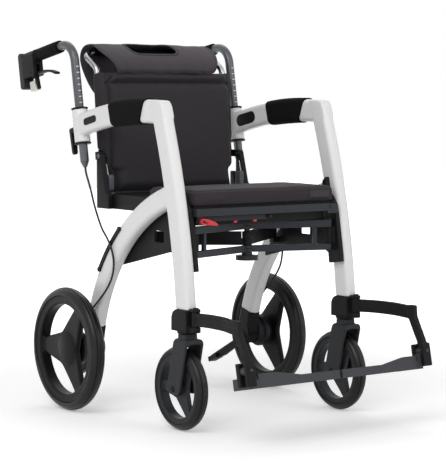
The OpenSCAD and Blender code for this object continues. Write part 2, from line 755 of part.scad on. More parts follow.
module front_gates() {
    stile = 34;
    v = [-gate_x, post_y - gate_y];
    color(bar_grey) for (s = ["right", "left"]) to_side(s) difference() {
        union() {
            for (z = [gate_low, gate_high]) gate_bar([gate_x, gate_y], [0, post_y], z, half(z, s == "left"));
            translate([gate_x, gate_y, 0]) rotate([0, 0, atan2(v[1], v[0])])
                translate([stile, -gate_t / 2 + 2, gate_low[0] + 1])
                cube([10, gate_t - 4, gate_high[1] - gate_low[0] - 2]);
        }
        gate_holes(gate_y);
    }
}

module rear_gates() {
    color(black) for (s = ["right", "left"]) to_side(s) difference() {
        gate_bar([gate_x, rear_gate_y], [0, post_y], rear_gate, half(rear_gate, s == "left"));
        gate_holes(rear_gate_y);
    }
}

module fold_post() {
    foot_z = 381;
    color(grey) translate([0, post_y, 0]) {
        translate([0, 0, foot_z]) cylinder(d = 55, h = gate_low[0] - 8 - foot_z, $fn = 96);
        translate([0, 0, gate_low[0] - 8]) cylinder(d = 26, h = 8 - seat_gap);
        translate([0, 0, foot_z]) cylinder(d = fold_post_d, h = gate_high[1] - foot_z + seat_gap);
        translate([0, 0, gate_high[1] + seat_gap]) cylinder(d = 24, h = 3);
    }
}

// Seat

lever_x = 198;
lever_z = seat_z - 11;
lever_pin = 5;

module seat_frame() {
    right_end = -strip_x;
    color(bar_grey) difference() {
        union() {
            translate([right_end, bar_y - bar_depth / 2, seat_z]) cube([hinge_bar_x - right_end, bar_depth, bar_h]);
            translate([hinge_bar_x - 1, bar_y - hinge_tongue / 2, seat_z + 1])
                cube([hinge_pin_x - hinge_bar_x, hinge_tongue, bar_h - 2]);
            pin_y(hinge_pin_x, seat_z + bar_h / 2, bar_h - 2, bar_y - hinge_tongue / 2, bar_y + hinge_tongue / 2);
            for (x = [-rail_half, rail_half - rail_w]) translate([x, bar_y, seat_z])
                cube([rail_w, seat_rear_y - bar_y, bar_h]);
            translate([-rail_half, seat_rear_y - bar_depth, seat_z]) cube([2 * rail_half, bar_depth, bar_h]);
            translate([-lever_x - 7, bar_y - 6, seat_z - 18]) cube([14, 8, 20]);
            pin_y(-lever_x, lever_z, lever_pin, bar_y - bar_depth / 2 - 12, bar_y - 5);
        }
        pin_y(hinge_pin_x, seat_z + bar_h / 2, pin_d - 2 + 2 * shaft_gap, bar_y - bar_depth, bar_y + bar_depth);
    }
}

module seat_hinge() {
    color(bar_grey) difference() {
        union() {
            translate([hinge_bar_x + seat_gap, bar_y - bar_depth / 2, seat_z - 6])
                cube([strip_x - hinge_bar_x - seat_gap, bar_depth / 2 - hinge_tongue / 2 - seat_gap, bar_h + 5]);
            translate([hinge_bar_x + bar_h, bar_y - bar_depth / 2, seat_z - 6])
                cube([strip_x - hinge_bar_x - bar_h, bar_depth, bar_h + 5]);
        }
        pin_y(hinge_pin_x, seat_z + bar_h / 2, pin_d - 2 + 2 * shaft_gap, bar_y - bar_depth, bar_y + bar_depth);
    }
}

// Red lever that frees the fold, turning on a pin under the front bar
module release_lever() {
    y0 = bar_y - bar_depth / 2 - 10;
    color(red) difference() {
        union() {
            pin_y(-lever_x, lever_z, 14, y0, y0 + 9);
            translate([-lever_x, y0 + 9, lever_z]) rotate([90, 0, 0]) linear_extrude(height = 9)
                polygon([[0, 7], [14, 5], [34, -2], [41, -8], [40, -11], [26, -10], [0, -7]]);
        }
        pin_y(-lever_x, lever_z, lever_pin + 2 * shaft_gap, y0 - 1, y0 + 10);
    }
}

module seat_base() {
    half = post_in - seat_gap;
    front = seat_front_y + 5;
    rear = post_front + 50;
    step = cushion_rear_y + seat_gap;
    skirt_in = rail_half + 1.2;
    color(black) {
        across(-half, half)
            polygon([[front, base_z], [rear, base_z], [rear, base_z + box_h], [step + 3, base_z + box_h],
                [step, base_z + box_h - 3], [step, base_z + base_t], [front, base_z + base_t]]);
        for (s = [0, 1]) mirror([s, 0, 0]) translate([skirt_in, step + 0.5, seat_z])
            cube([half - 0.5 - skirt_in, post_front - 1 - step, bar_h + 0.5]);
    }
}

// Ring of a cushion: a rectangle with round corners whose sides draw in towards their middle
function ring(a, b, r, pull, z, k, s) = [for (q = [0:3])
    let (c = [[1, 1], [-1, 1], [-1, -1], [1, -1]][q], n = [[1, 1], [-1, 1], [-1, -1], [1, -1]][(q + 1) % 4],
        e = [cos(90 * q + 90), sin(90 * q + 90)],
        p0 = [c[0] * (a - r), c[1] * (b - r)] + r * e,
        p1 = [n[0] * (a - r), n[1] * (b - r)] + r * e)
    each concat(
        [for (j = [0:k]) [c[0] * (a - r) + r * cos(90 * q + 90 * j / k), c[1] * (b - r) + r * sin(90 * q + 90 * j / k), z]],
        [for (j = [1:s - 1]) let (p = p0 + (p1 - p0) * j / s - e * pull * sin(180 * j / s)) [p[0], p[1], z]])];

module seat_cushion() {
    k = 4;
    s = 8;
    pull = 4;
    corner = 16;
    // Inset from the outline and share of the height, from the underside to the crown
    rows = [[9, 0], [2.5, 0.05], [0, 0.18], [1.5, 0.45], [0.5, 0.72], [2.5, 0.84], [8, 0.92],
        [seat_half_y * 0.28, 0.955], [seat_half_y * 0.55, 0.98], [seat_half_y * 0.82, 0.995]];
    rings = [for (w = rows) each ring(cushion_half - w[0], seat_half_y - w[0], max(corner - w[0] / 3, 4), pull, w[1] * cushion_t, k, s)];
    n = 4 * (k + s);
    color(cloth) translate([0, seat_mid_y, cushion_z])
        polyhedron(concat(rings, [[0, 0, 0], [0, 0, cushion_t]]), loft_faces(n, len(rows)));
}

// Back posts and backrest

module back_posts() {
    rear = back_pivot_y + eye_back_r;
    color(black) for (s = ["right", "left"]) to_side(s) difference() {
        across(post_in, post_out) {
            polygon([[post_front, seat_z], [rear, seat_z], [rear, back_pivot_z], [back_pivot_y - eye_back_r + 1, back_pivot_z + 4],
                [post_front + 14, back_low_z], [post_front, back_low_z - 8]]);
            translate([back_pivot_y, back_pivot_z]) circle(r = eye_back_r);
        }
        pin_x(back_pivot_y, back_pivot_z, pin_d + 2 * shaft_gap, post_in - 1, post_out + 1);
    }
}

module back_pivot_pins() {
    color(silver) for (s = ["right", "left"]) to_side(s) {
        pin_x(back_pivot_y, back_pivot_z, pin_d, post_in - lug_t - 1, post_out);
        pin_x(back_pivot_y, back_pivot_z, pin_d + 4, post_out, post_out + 1.2);
    }
}

// Grey latch that slides up the post, with its pull rod
module back_latch(side) {
    latch_z = [539, 582];
    latch_y = [152, 190];
    thick = 14;
    color(grey) to_side(side) {
        translate([post_in - move_gap - thick, 0, 0]) across(0, thick)
            translate([(latch_y[0] + latch_y[1]) / 2, (latch_z[0] + latch_z[1]) / 2])
            round_rect(latch_y[1] - latch_y[0], latch_z[1] - latch_z[0], 7);
        translate([post_in - 8, latch_y[0] + 10, latch_z[1] - 2]) rotate([-16, 0, 0]) cylinder(d = 3, h = 17);
    }
}
module right_back_latch() back_latch("right");
module left_back_latch() back_latch("left");

// Frame of the backrest: the origin at the foot of its rear face, z up along the lean
module at_back() {
    translate([0, back_face_y, back_low_z]) rotate([-back_lean, 0, 0]) children();
}

// Silver tube up both sides, mitred backwards to a hoop that carries the cloth, with a lug at each pivot
module backrest_frame() {
    low = back_pivot_z - back_low_z - 12;
    mitre = back_tube_d / 2 * tan(back_bend / 2);
    run = back_cross_x - back_corner_r;
    color(silver) {
        at_back() translate([0, back_tube_d / 2 + seat_gap, 0]) {
            for (s = [-1, 1]) translate([s * back_cross_x, 0, low])
                cylinder(d = back_tube_d, h = back_bend_up + mitre - low);
            translate([0, 0, back_bend_up]) rotate([-back_bend, 0, 0]) {
                for (s = [0, 1]) mirror([s, 0, 0]) {
                    translate([back_cross_x, 0, -mitre]) cylinder(d = hoop_d, h = back_run + mitre);
                    translate([run, 0, back_run]) rotate([90, 0, 0]) rotate_extrude(angle = 90, $fn = 96)
                        translate([back_corner_r, 0]) circle(d = hoop_d);
                }
                translate([-run, 0, back_run + back_corner_r]) rotate([0, 90, 0]) cylinder(d = hoop_d, h = 2 * run);
            }
        }
        for (s = ["right", "left"]) to_side(s) difference() {
            union() {
                across(post_in - lug_t - seat_gap, post_in - seat_gap) {
                    translate([back_pivot_y, back_pivot_z]) circle(r = eye_back_r);
                    translate([back_pivot_y, back_pivot_z - eye_back_r]) square([back_tube_y - back_pivot_y + 8, 2 * eye_back_r]);
                }
                across(back_cross_x, post_in - seat_gap) translate([back_tube_y + 1, back_pivot_z - eye_back_r])
                    square([7, 2 * eye_back_r]);
            }
            pin_x(back_pivot_y, back_pivot_z, pin_d + 2 * shaft_gap, post_in - 20, post_in + 1);
        }
    }
}

// Rise from 0 at an edge to 1 at a distance w inside it
function rise(d, w) = d <= 0 ? 0 : d >= w ? 1 : sin(90 * d / w);

// Thickness of the backrest pad at x across and u up: a border, a raised field, a sewn channel and a crown
function pad_depth(x, u) =
    let (edge = rise(back_half - abs(x), 9) * rise(u, 9) * rise(back_h - u, 6),
        field = rise(field_half - abs(x), 20) * rise(u - 5, 22) * rise(back_h + 2 - u, 11),
        sewn = 1 - 0.8 * exp(-pow((u - channel_up) / 6, 2)),
        crown = 5 * (1 - pow(x / back_half, 2)) * sin(180 * u / back_h))
    4 + (back_border_t - 4) * edge + (back_field_t - 2) * field * sewn + crown * field;

// Half width left of the pad at u up, where its lower corners are cut back for the latches
function pad_half(u) = min(1, (172 + 30 * u / 81) / back_half);

module backrest_pad() {
    xs = [-1, -0.985, -0.955, -0.935, -0.915, -0.87, -0.82, -0.65, -0.4, -0.13, 0.13, 0.4, 0.65, 0.82, 0.87, 0.915, 0.935, 0.955, 0.985, 1];
    us = [0, 4, 10, 18, 28, 60, 82, 130, 180, 225, 242, 249, 254, 258, 263, 270, 280, 289, 294, back_h];
    nx = len(xs);
    nu = len(us);
    front = [for (u = us, f = xs) let (x = f * back_half * pad_half(u)) [x, -pad_depth(f * back_half, u), u]];
    rear = [for (u = us, f = xs) [f * back_half * pad_half(u), 0, u]];
    at = nx * nu;
    cells = [for (i = [0:nu - 2], j = [0:nx - 2]) [i * nx + j, i * nx + j + 1, (i + 1) * nx + j + 1, (i + 1) * nx + j]];
    loop = concat([for (j = [0:nx - 1]) j], [for (i = [1:nu - 1]) i * nx + nx - 1],
        [for (j = [nx - 2:-1:0]) (nu - 1) * nx + j], [for (i = [nu - 2:-1:1]) i * nx]);
    faces = concat(
        [for (c = cells) each [[c[2], c[1], c[0]], [c[3], c[2], c[0]]]],
        [for (c = cells) each [[at + c[0], at + c[1], at + c[2]], [at + c[0], at + c[2], at + c[3]]]],
        [for (i = [0:len(loop) - 1]) let (p = loop[i], q = loop[(i + 1) % len(loop)])
            each [[p, q, at + q], [p, at + q, at + p]]]);
    color(cloth) at_back() polyhedron(concat(front, rear), faces);
}

// Cloth loop over the top tube, with soft waves towards its hems and a hand slot
module backrest_flap() {
    p = smooth(flap_route, 2);
    m = len(p);
    cols = 16;
    function wave(i, x) = 1.6 * (1 - rise(i, 12)) * sin(540 * (x / flap_half) + 40);
    function normal(i) = let (t = p[min(i + 1, m - 1)] - p[max(i - 1, 0)]) [-t[1], t[0]] / norm(t);
    function sheet(off) = [for (i = [0:m - 1], j = [0:cols])
        let (x = flap_half * (2 * j / cols - 1), q = p[i] + normal(i) * (off + wave(i, x))) [x, q[0], q[1]]];
    w = cols + 1;
    at = m * w;
    cells = [for (i = [0:m - 2], j = [0:cols - 1]) [i * w + j, i * w + j + 1, (i + 1) * w + j + 1, (i + 1) * w + j]];
    loop = concat([for (j = [0:cols]) j], [for (i = [1:m - 1]) i * w + cols],
        [for (j = [cols - 1:-1:0]) (m - 1) * w + j], [for (i = [m - 2:-1:1]) i * w]);
    faces = concat(
        [for (c = cells) each [[c[2], c[1], c[0]], [c[3], c[2], c[0]]]],
        [for (c = cells) each [[at + c[0], at + c[1], at + c[2]], [at + c[0], at + c[2], at + c[3]]]],
        [for (i = [0:len(loop) - 1]) let (a = loop[i], b = loop[(i + 1) % len(loop)])
            each [[a, b, at + b], [a, at + b, at + a]]]);
    color(cloth) difference() {
        polyhedron(concat(sheet(flap_t / 2), sheet(-flap_t / 2)), faces);
        translate([-20, 240, 860]) linear_extrude(height = 80) round_rect(150, 40, 14);
    }
}

// Handles

module handle_path(d) {
    translate([0, 0, -post_len]) cylinder(d = d, h = post_len - bend_r);
    translate([0, bend_r, -bend_r]) rotate([90, 0, 90]) rotate([0, 0, 90])
        rotate_extrude(angle = 90, $fn = 120) translate([bend_r, 0]) circle(d = d);
    translate([0, bend_r, 0]) rotate([-90, 0, 0]) cylinder(d = d, h = housing_end - bend_r);
}

module handle_tube(side) {
    wall = 2;
    plug = 15;
    color(grey) to_side(side) at_handle() difference() {
        union() {
            difference() {
                handle_path(handle_d);
                handle_path(handle_d - 2 * wall);
            }
            translate([0, 0, -post_len - plug]) cylinder(d1 = 9, d2 = handle_d, h = plug);
            translate([0, 0, -post_len - 0.5]) cylinder(d = handle_d, h = 8);
        }
        translate([0, 0, -post_len - plug - 1]) cylinder(d = cable_d + 1, h = 40);
    }
}
module right_handle_tube() handle_tube("right");
module left_handle_tube() handle_tube("left");

module grip(side) {
    color(black) to_side(side) at_handle() difference() {
        union() {
            translate([0, grip_start, 0]) rotate([-90, 0, 0]) cylinder(d1 = grip_d - 6, d2 = grip_d, h = 6);
            translate([0, grip_start + 6, 0]) rotate([-90, 0, 0]) cylinder(d = grip_d, h = housing_start - grip_start - 6 - seat_gap);
        }
        translate([0, 0, 0]) rotate([-90, 0, 0]) cylinder(d = handle_d + 2 * shaft_gap, h = 300);
    }
}
module right_grip() grip("right");
module left_grip() grip("left");

module brake_housing(side) {
    low = -52;
    color(black) to_side(side) at_handle() difference() {
        union() {
            translate([0, housing_start, 0]) rotate([-90, 0, 0]) cylinder(d = grip_d, h = housing_end - housing_start);
            translate([-housing_half, housing_start + 2, low]) cube([2 * housing_half, housing_end - housing_start - 2, -low]);
        }
        rotate([-90, 0, 0]) cylinder(d = handle_d + 2 * shaft_gap, h = 300);
        translate([-slot_half, housing_start - 1, low - 1]) cube([2 * slot_half, housing_end - housing_start - 5, 30]);
        pin_x(lever_pivot[0], lever_pivot[1], lever_pin_d + 2 * shaft_gap, -30, 30);
    }
}
module right_brake_housing() brake_housing("right");
module left_brake_housing() brake_housing("left");

module grip_cap(side) {
    r = 9;
    up = 17;
    h = up + cap_drop;
    color(grey) to_side(side) at_handle() across(-housing_half - 0.5, housing_half + 0.5)
        translate([housing_end + cap_t / 2, up - h / 2]) {
            round_rect(cap_t, h, r);
            translate([-cap_t / 2, -h / 2 + 3]) square([cap_t / 2, h - 3 - r]);
        }
}
module right_grip_cap() grip_cap("right");
module left_grip_cap() grip_cap("left");

// Blade, neck, hub with its pin and locking prong
module brake_lever(side) {
    blade_r = 154.8;
    blade_c = [158.6, -201.8];
    color(black) to_side(side) at_handle() {
        arc_bar(blade_c, blade_r, 83.5, 116.3, 6, 17, 2.5);
        across(-lever_t / 2, lever_t / 2) {
            polygon([[200, -37], [166, -44.5], [166, -50], [190, -51]]);
            polygon([[191, -44], [205, -44], [190, -86], [184, -85]]);
            translate(lever_pivot) circle(r = 8);
        }
        pin_x(lever_pivot[0], lever_pivot[1], lever_pin_d, -housing_half, housing_half);
    }
}
module right_brake_lever() brake_lever("right");
module left_brake_lever() brake_lever("left");

module brake_lock(side) {
    color(cream) to_side(side) at_handle() across(-7, 7)
        polygon([[198.9, -63], [222, -63], [220, -88], [190.4, -87.5]]);
}
module right_brake_lock() brake_lock("right");
module left_brake_lock() brake_lock("left");

module clamp_lever(side) {
    start = socket_d / 2 + 6 + move_gap;
    color(black) to_side(side) at_handle() translate([0, 0, -clamp_drop]) {
        rotate([-90, 0, 0]) translate([0, 0, start]) cylinder(d = 17, h = 20);
        rotate([-90, 0, 0]) translate([0, 0, handle_d / 2 + 5]) cylinder(d = clamp_shaft_d, h = start);
        translate([0, start + 20, 0]) rotate([90, 0, 0]) linear_extrude(height = 9) {
            circle(d = 17);
            polygon([[-8, 0], [8, 0], [6, -54], [-6, -54]]);
            translate([0, -54]) circle(r = 6);
        }
    }
}
module right_clamp_lever() clamp_lever("right");
module left_clamp_lever() clamp_lever("left");

// Footrests

// Frame of a footplate: the origin on its hinge, y back along the plate's tilt
module at_plate() {
    translate([hinge_out, plate_hinge_y, plate_hinge_z]) rotate([-plate_tilt, 0, 0]) children();
}

module footrest_arm(side) {
    c = [foot_pin_y - foot_reach / 2, foot_mid_z - foot_arc_r];
    span = asin(foot_reach / 2 / foot_arc_r);
    color(black) to_side(side) difference() {
        union() {
            translate([frame_x, foot_pin_y, knuckle[0]]) cylinder(d = 20, h = knuckle[1] - knuckle[0]);
            translate([frame_x, foot_pin_y, 0]) rotate([0, 0, foot_angle]) translate([0, -foot_pin_y, 0]) difference() {
                arc_bar(c, foot_arc_r, 90 - span, 90 + span, foot_arm_h, foot_arm_t, 3);
                for (x = [-foot_arm_t / 2, foot_arm_t / 2]) translate([x, 0, 0])
                    arc_bar(c, foot_arc_r, 88 - span, 92 + span, foot_arm_h / 2.5, 3, 1);
            }
            hull() {
                translate([frame_x + foot_set, foot_pin_y - foot_reach, foot_mid_z - 4]) cube([foot_arm_t, 20, 36], center = true);
                translate([hinge_out, plate_hinge_y - 4, plate_hinge_z + 8]) cube([foot_arm_t, 20, 8], center = true);
            }
            at_plate() translate([-12, -20.3, -36]) cube([24, 42.3, 54]);
        }
        translate([frame_x, foot_pin_y, 200]) cylinder(d = pin_d + 2 * shaft_gap, h = 100);
        at_plate() translate([-30, -lug_half - move_gap, -50]) cube([60, 2 * (lug_half + move_gap), 65]);
        at_plate() rotate([90, 0, 0]) cylinder(d = pin_d + 2 * shaft_gap, h = 100, center = true);
    }
}
module right_footrest_arm() footrest_arm("right");
module left_footrest_arm() footrest_arm("left");

// Ribbed tray with a front lip, an outer wall and a hinge lug with its pin
module footplate(side) {
    inner = hinge_out - 4;
    front = -16.3;
    back = front + plate_depth;
    peak = hinge_out - 102;
    top = -plate_drop;
    color(black) to_side(side) at_plate() {
        rotate([90, 0, 0]) cylinder(d = pin_d, h = 44, center = true);
        rotate([90, 0, 0]) cylinder(d = 20, h = 2 * lug_half, center = true);
        rotate([90, 0, 0]) linear_extrude(height = 2 * lug_half, center = true)
            polygon([[-plate_outer - 6, top - plate_t], [-8, top - plate_t], [-8, -13], [0, -13], [0, -5],
                [-plate_outer, -5], [-plate_outer, -plate_outer], [-plate_outer - 6, -plate_outer]]);
        translate([0, 0, top - plate_skin]) linear_extrude(height = plate_skin)
            polygon([[-plate_outer, front + 10], [-peak, front - 3], [-inner, front + 6], [-inner, back], [-plate_outer, back]]);
        translate([0, 0, top - plate_t]) linear_extrude(height = plate_t)
            polygon([[-plate_outer, front + 10], [-peak, front - 3], [-inner, front + 6], [-inner, front + 14],
                [-peak, front + 6], [-plate_outer, front + 18]]);
        translate([-plate_outer - 6, front + 10, top - plate_t]) cube([6, plate_depth - 10, plate_t + 6]);
        translate([-inner, front + 6, top - plate_t]) cube([5, plate_depth - 6, plate_t]);
        translate([-inner, back - 5, top - plate_t + 4]) cube([inner - plate_outer, 5, plate_t - 4]);
        for (i = [1:5]) translate([-plate_outer - i * (inner - plate_outer) / 6 - 2, front + 8, top - plate_t + 3])
            cube([4, plate_depth - 12, plate_t - 3]);
    }
}
module right_footplate() footplate("right");
module left_footplate() footplate("left");

right_side_frame();
left_side_frame();
side_plates();
armrest_pads();
arm_inserts();
socket_collars();
cable_guides();
right_brake_cable();
left_brake_cable();
axle_housings();
brake_plates();
rear_axles();
kerb_pedals();
leg_blocks();
hinge_pins();
front_gates();
rear_gates();
fold_post();
seat_frame();
seat_hinge();
release_lever();
seat_base();
seat_cushion();
back_posts();
back_pivot_pins();
right_back_latch();
left_back_latch();
backrest_frame();
backrest_pad();
backrest_flap();
right_handle_tube();
left_handle_tube();
right_grip();
left_grip();
right_brake_housing();
left_brake_housing();
right_grip_cap();
left_grip_cap();
right_brake_lever();
left_brake_lever();
right_brake_lock();
left_brake_lock();
right_clamp_lever();
left_clamp_lever();
right_caster_fork();
left_caster_fork();
right_front_axle();
left_front_axle();
right_front_tyre();
left_front_tyre();
right_front_rim();
left_front_rim();
right_rear_tyre();
left_rear_tyre();
right_rear_rim();
left_rear_rim();
right_footrest_arm();
left_footrest_arm();
right_footplate();
left_footplate();
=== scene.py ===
"""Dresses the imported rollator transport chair: coats, mouldings, tyres, cables and sewn goods."""

from __future__ import annotations

import logging
import math
from dataclasses import dataclass, field
from enum import Enum
from typing import Callable, Iterable, Sequence

import bmesh
import bpy
from mathutils import Euler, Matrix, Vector, noise


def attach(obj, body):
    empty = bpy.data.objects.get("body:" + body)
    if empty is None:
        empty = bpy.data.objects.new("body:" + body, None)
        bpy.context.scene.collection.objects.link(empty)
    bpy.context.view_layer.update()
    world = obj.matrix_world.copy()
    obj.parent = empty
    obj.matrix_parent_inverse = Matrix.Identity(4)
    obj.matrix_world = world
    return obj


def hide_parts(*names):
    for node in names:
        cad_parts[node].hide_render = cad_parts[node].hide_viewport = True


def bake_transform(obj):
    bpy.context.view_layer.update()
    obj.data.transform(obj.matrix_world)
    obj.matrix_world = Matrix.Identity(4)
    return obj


LOG = logging.getLogger("chair")
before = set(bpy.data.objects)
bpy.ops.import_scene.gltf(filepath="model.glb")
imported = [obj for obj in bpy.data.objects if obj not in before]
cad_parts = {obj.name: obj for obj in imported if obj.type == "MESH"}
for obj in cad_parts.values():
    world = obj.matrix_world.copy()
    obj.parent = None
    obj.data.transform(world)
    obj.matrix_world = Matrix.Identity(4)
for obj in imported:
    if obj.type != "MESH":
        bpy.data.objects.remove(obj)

MM = 0.001
WELD_M = 1e-6
Point = tuple[float, float, float]
# Corner where the axes of a handle's post and grip meet, on the left, and how far the post leans back.
HANDLE_CORNER: Point = (0.2395, 0.2623, 0.9124)
HANDLE_LEAN = 10.0
# How far the backrest leans back.
BACK_LEAN = 4.8


class Side(Enum):
    """The occupant's two sides, with the sign of X."""

    RIGHT = -1
    LEFT = 1

    @property
    def tag(self) -> str:
        """Prefix of the side's nodes and bodies."""
        return self.name.lower()

    def point(self, x: float, y: float, z: float) -> Vector:
        """Gives a point of this side from the measures of the left one."""
        return Vector((self.value * x, y, z))


class Surface(Enum):
    """How a surface was made, which decides its relief."""

    COATED = "powder coat with a faint orange peel"
    MOULDED = "spark-eroded mould grain"
    FOAM = "closed foam skin with pores"
    RUBBER = "moulded rubber, dull and dusty in its hollows"
    DRAWN = "drawn tube with lines along its length"
    TURNED = "turned and plated metal"
    WOVEN = "plain weave of two threads"


def linear(code: str) -> tuple[float, float, float, float]:
    """Turns an sRGB hex colour to linear.

    Args:
        code: Colour such as "#2a2a2d".

    Returns:
        Linear red, green, blue and an alpha of 1.
    """
    parts = [int(code[i : i + 2], 16) / 255 for i in (1, 3, 5)]
    red, green, blue = (c / 12.92 if c <= 0.04045 else ((c + 0.055) / 1.055) ** 2.4 for c in parts)
    return (red, green, blue, 1.0)


def fresh_tree(owner: bpy.types.Material | bpy.types.World) -> bpy.types.NodeTree:
    """Gives a material or a world an empty node tree."""
    owner.use_nodes = True
    owner.node_tree.nodes.clear()
    return owner.node_tree


def add_node(
    tree: bpy.types.NodeTree,
    kind: str,
    settings: dict[str, object] | None = None,
    values: dict[str, object] | None = None,
    links: dict[str, bpy.types.NodeSocket] | None = None,
) -> bpy.types.Node:
    """Adds one shader node.

    Args:
        tree: Node tree to add to.
        kind: Node type name.
        settings: Attributes of the node.
        values: Input sockets and their constant values.
        links: Input sockets and the outputs that feed them.

    Returns:
        The new node.
    """
    made = tree.nodes.new(kind)
    for name, value in (settings or {}).items():
        setattr(made, name, value)
    for name, value in (values or {}).items():
        made.inputs[name].default_value = value
    for name, socket in (links or {}).items():
        tree.links.new(socket, made.inputs[name])
    return made


@dataclass(frozen=True)
class Finish:
    """One real material and the way its surface was made."""

    name: str
    colour: str
    shade: str
    surface: Surface
    grain_mm: float
    relief_mm: float
    roughness: float
    spread: float = 0.08
    metallic: float = 0.0
    coat: float = 0.0
    specular: float = 0.5
    sheen: float = 0.0
    patch_mm: float = 60.0
    lean: Point = (1.0, 1.0, 1.0)

    def material(self) -> bpy.types.Material:
        """Gives the finish as a node material, made on first use.

        Returns:
            The Blender material.
        """
        found = bpy.data.materials.get(self.name)
        return found if found else self._make()

    def _make(self) -> bpy.types.Material:
        """Builds the node material.

        Returns:
            The new material.
        """
        made = bpy.data.materials.new(self.name)
        tree = fresh_tree(made)
        place = add_node(tree, "ShaderNodeTexCoord")
        spot = add_node(
            tree, "ShaderNodeVectorMath", {"operation": "MULTIPLY"}, {1: self.lean}, {0: place.outputs["Object"]}
        )
        patches = add_node(tree, "ShaderNodeTexNoise",
                           values={"Scale": 1 / (self.patch_mm * MM), "Detail": 4.0, "Roughness": 0.6},
                           links={"Vector": spot.outputs[0]})
        grain = self._grain(tree, spot.outputs[0])
        tone = add_node(tree, "ShaderNodeMix", {"data_type": "RGBA"},
                        {6: linear(self.shade), 7: linear(self.colour)}, {0: patches.outputs["Fac"]})
        worn = add_node(tree, "ShaderNodeMapRange",
                        values={"From Min": 0.3, "From Max": 0.7, "To Min": self.roughness - self.spread,
                                "To Max": self.roughness + self.spread},
                        links={"Value": patches.outputs["Fac"]})
        bump = add_node(tree, "ShaderNodeBump", values={"Strength": 0.6, "Distance": self.relief_mm * MM},
                        links={"Height": grain})
        shader = add_node(
            tree,
            "ShaderNodeBsdfPrincipled",
            values={"Metallic": self.metallic, "IOR": 1.5, "Specular IOR Level": self.specular,
                    "Coat Weight": self.coat, "Coat Roughness": 0.12, "Sheen Weight": self.sheen,
                    "Sheen Roughness": 0.45},
            links={"Base Color": tone.outputs[2], "Roughness": worn.outputs["Result"],
                   "Normal": bump.outputs["Normal"]},
        )
        add_node(tree, "ShaderNodeOutputMaterial", links={"Surface": shader.outputs["BSDF"]})
        made.diffuse_color = linear(self.colour)
        return made

    def _grain(self, tree: bpy.types.NodeTree, spot: bpy.types.NodeSocket) -> bpy.types.NodeSocket:
        """Adds the relief of the surface.

        Args:
            tree: Node tree of the material.
            spot: Place on the object, in metres.

        Returns:
            Height socket from 0 to 1.
        """
        per_m = 1 / (self.grain_mm * MM)
        if self.surface is Surface.WOVEN:
            # Threads run along all three axes, so that two of them cross on any face.
            threads = [
                add_node(tree, "ShaderNodeTexWave", {"bands_direction": axis},
                         {"Scale": per_m * math.pi / 20, "Distortion": 0.6, "Detail Scale": 2.0}, {"Vector": spot})
                for axis in ("X", "Y", "Z")
            ]
            pair = add_node(tree, "ShaderNodeMath", {"operation": "ADD"},
                            links={0: threads[0].outputs["Fac"], 1: threads[1].outputs["Fac"]})
            total = add_node(tree, "ShaderNodeMath", {"operation": "ADD"},
                             links={0: pair.outputs[0], 1: threads[2].outputs["Fac"]})
            return add_node(tree, "ShaderNodeMath", {"operation": "DIVIDE"}, {1: 3.0}, {0: total.outputs[0]}).outputs[0]
        if self.surface is Surface.FOAM:
            return add_node(tree, "ShaderNodeTexVoronoi", values={"Scale": per_m},
                            links={"Vector": spot}).outputs["Distance"]
        detail = {Surface.COATED: 1.0, Surface.DRAWN: 2.0, Surface.TURNED: 2.0}.get(self.surface, 4.0)
        return add_node(tree, "ShaderNodeTexNoise", values={"Scale": per_m, "Detail": detail, "Roughness": 0.55},
                        links={"Vector": spot}).outputs["Fac"]


# Powder-coated aluminium casting: gloss white, the coat flows into a faint orange peel.
WHITE_COAT = Finish("powder_coated_aluminium_white", "#e8e8e7", "#e3e3e3", Surface.COATED, 3.0, 0.02, 0.34, 0.04,
                    coat=0.15, specular=0.4)
# Glass-filled nylon from a grained mould: black, half dull.
BLACK_NYLON = Finish("moulded_nylon_black", "#1a1a1c", "#141416", Surface.MOULDED, 1.6, 0.05, 0.48, specular=0.12)
# The same nylon where the mould was polished, with a soft gloss.
GLOSS_NYLON = Finish("polished_nylon_black", "#131315", "#0e0e10", Surface.MOULDED, 2.2, 0.02, 0.4, 0.05, specular=0.13)
# ABS from a finer mould: dark grey, satin.
GREY_ABS = Finish("moulded_abs_grey", "#313235", "#242527", Surface.MOULDED, 1.4, 0.03, 0.45, specular=0.16)
# The same ABS, painted paler on the footplates as painted light, where their front lip catches the light.
LIT_SLATE_ABS = Finish("moulded_abs_slate", "#404145", "#37383c", Surface.MOULDED, 1.4, 0.03, 0.44, specular=0.24)
# The same ABS in the light blue-grey of the latch noses.
LIGHT_ABS = Finish("moulded_abs_light_grey", "#50535a", "#474a50", Surface.MOULDED, 1.4, 0.03, 0.42, specular=0.35)
# Acetal: cream, slippery and half gloss.
CREAM_ACETAL = Finish("moulded_acetal_cream", "#dcdad0", "#d2d0c6", Surface.MOULDED, 1.2, 0.02, 0.35)
# ABS from a polished mould: red, gloss.
RED_ABS = Finish("polished_abs_red", "#d8222b", "#c31c25", Surface.MOULDED, 2.0, 0.015, 0.25)
# EVA foam: black skin with fine pores, dull.
EVA_FOAM = Finish("eva_foam_black", "#171618", "#121113", Surface.FOAM, 1.8, 0.12, 0.85, specular=0.05, sheen=0.02)
# Thermoplastic rubber of the grips: black, soft, dull.
GRIP_RUBBER = Finish("moulded_rubber_grip", "#111113", "#0c0c0e", Surface.RUBBER, 1.2, 0.05, 0.65, specular=0.05)
# Polyurethane tyre: warm black, dusty where it rolls.
TYRE_PU = Finish("polyurethane_tyre", "#1a1918", "#131211", Surface.RUBBER, 1.8, 0.05, 0.32, 0.08, specular=0.26)
# Anodised and painted aluminium bars: blue-grey, satin.
DARK_BARS = Finish("anodised_aluminium_dark", "#303338", "#292c31", Surface.DRAWN, 1.0, 0.015, 0.42, 0.05,
                   metallic=0.15, specular=0.2)
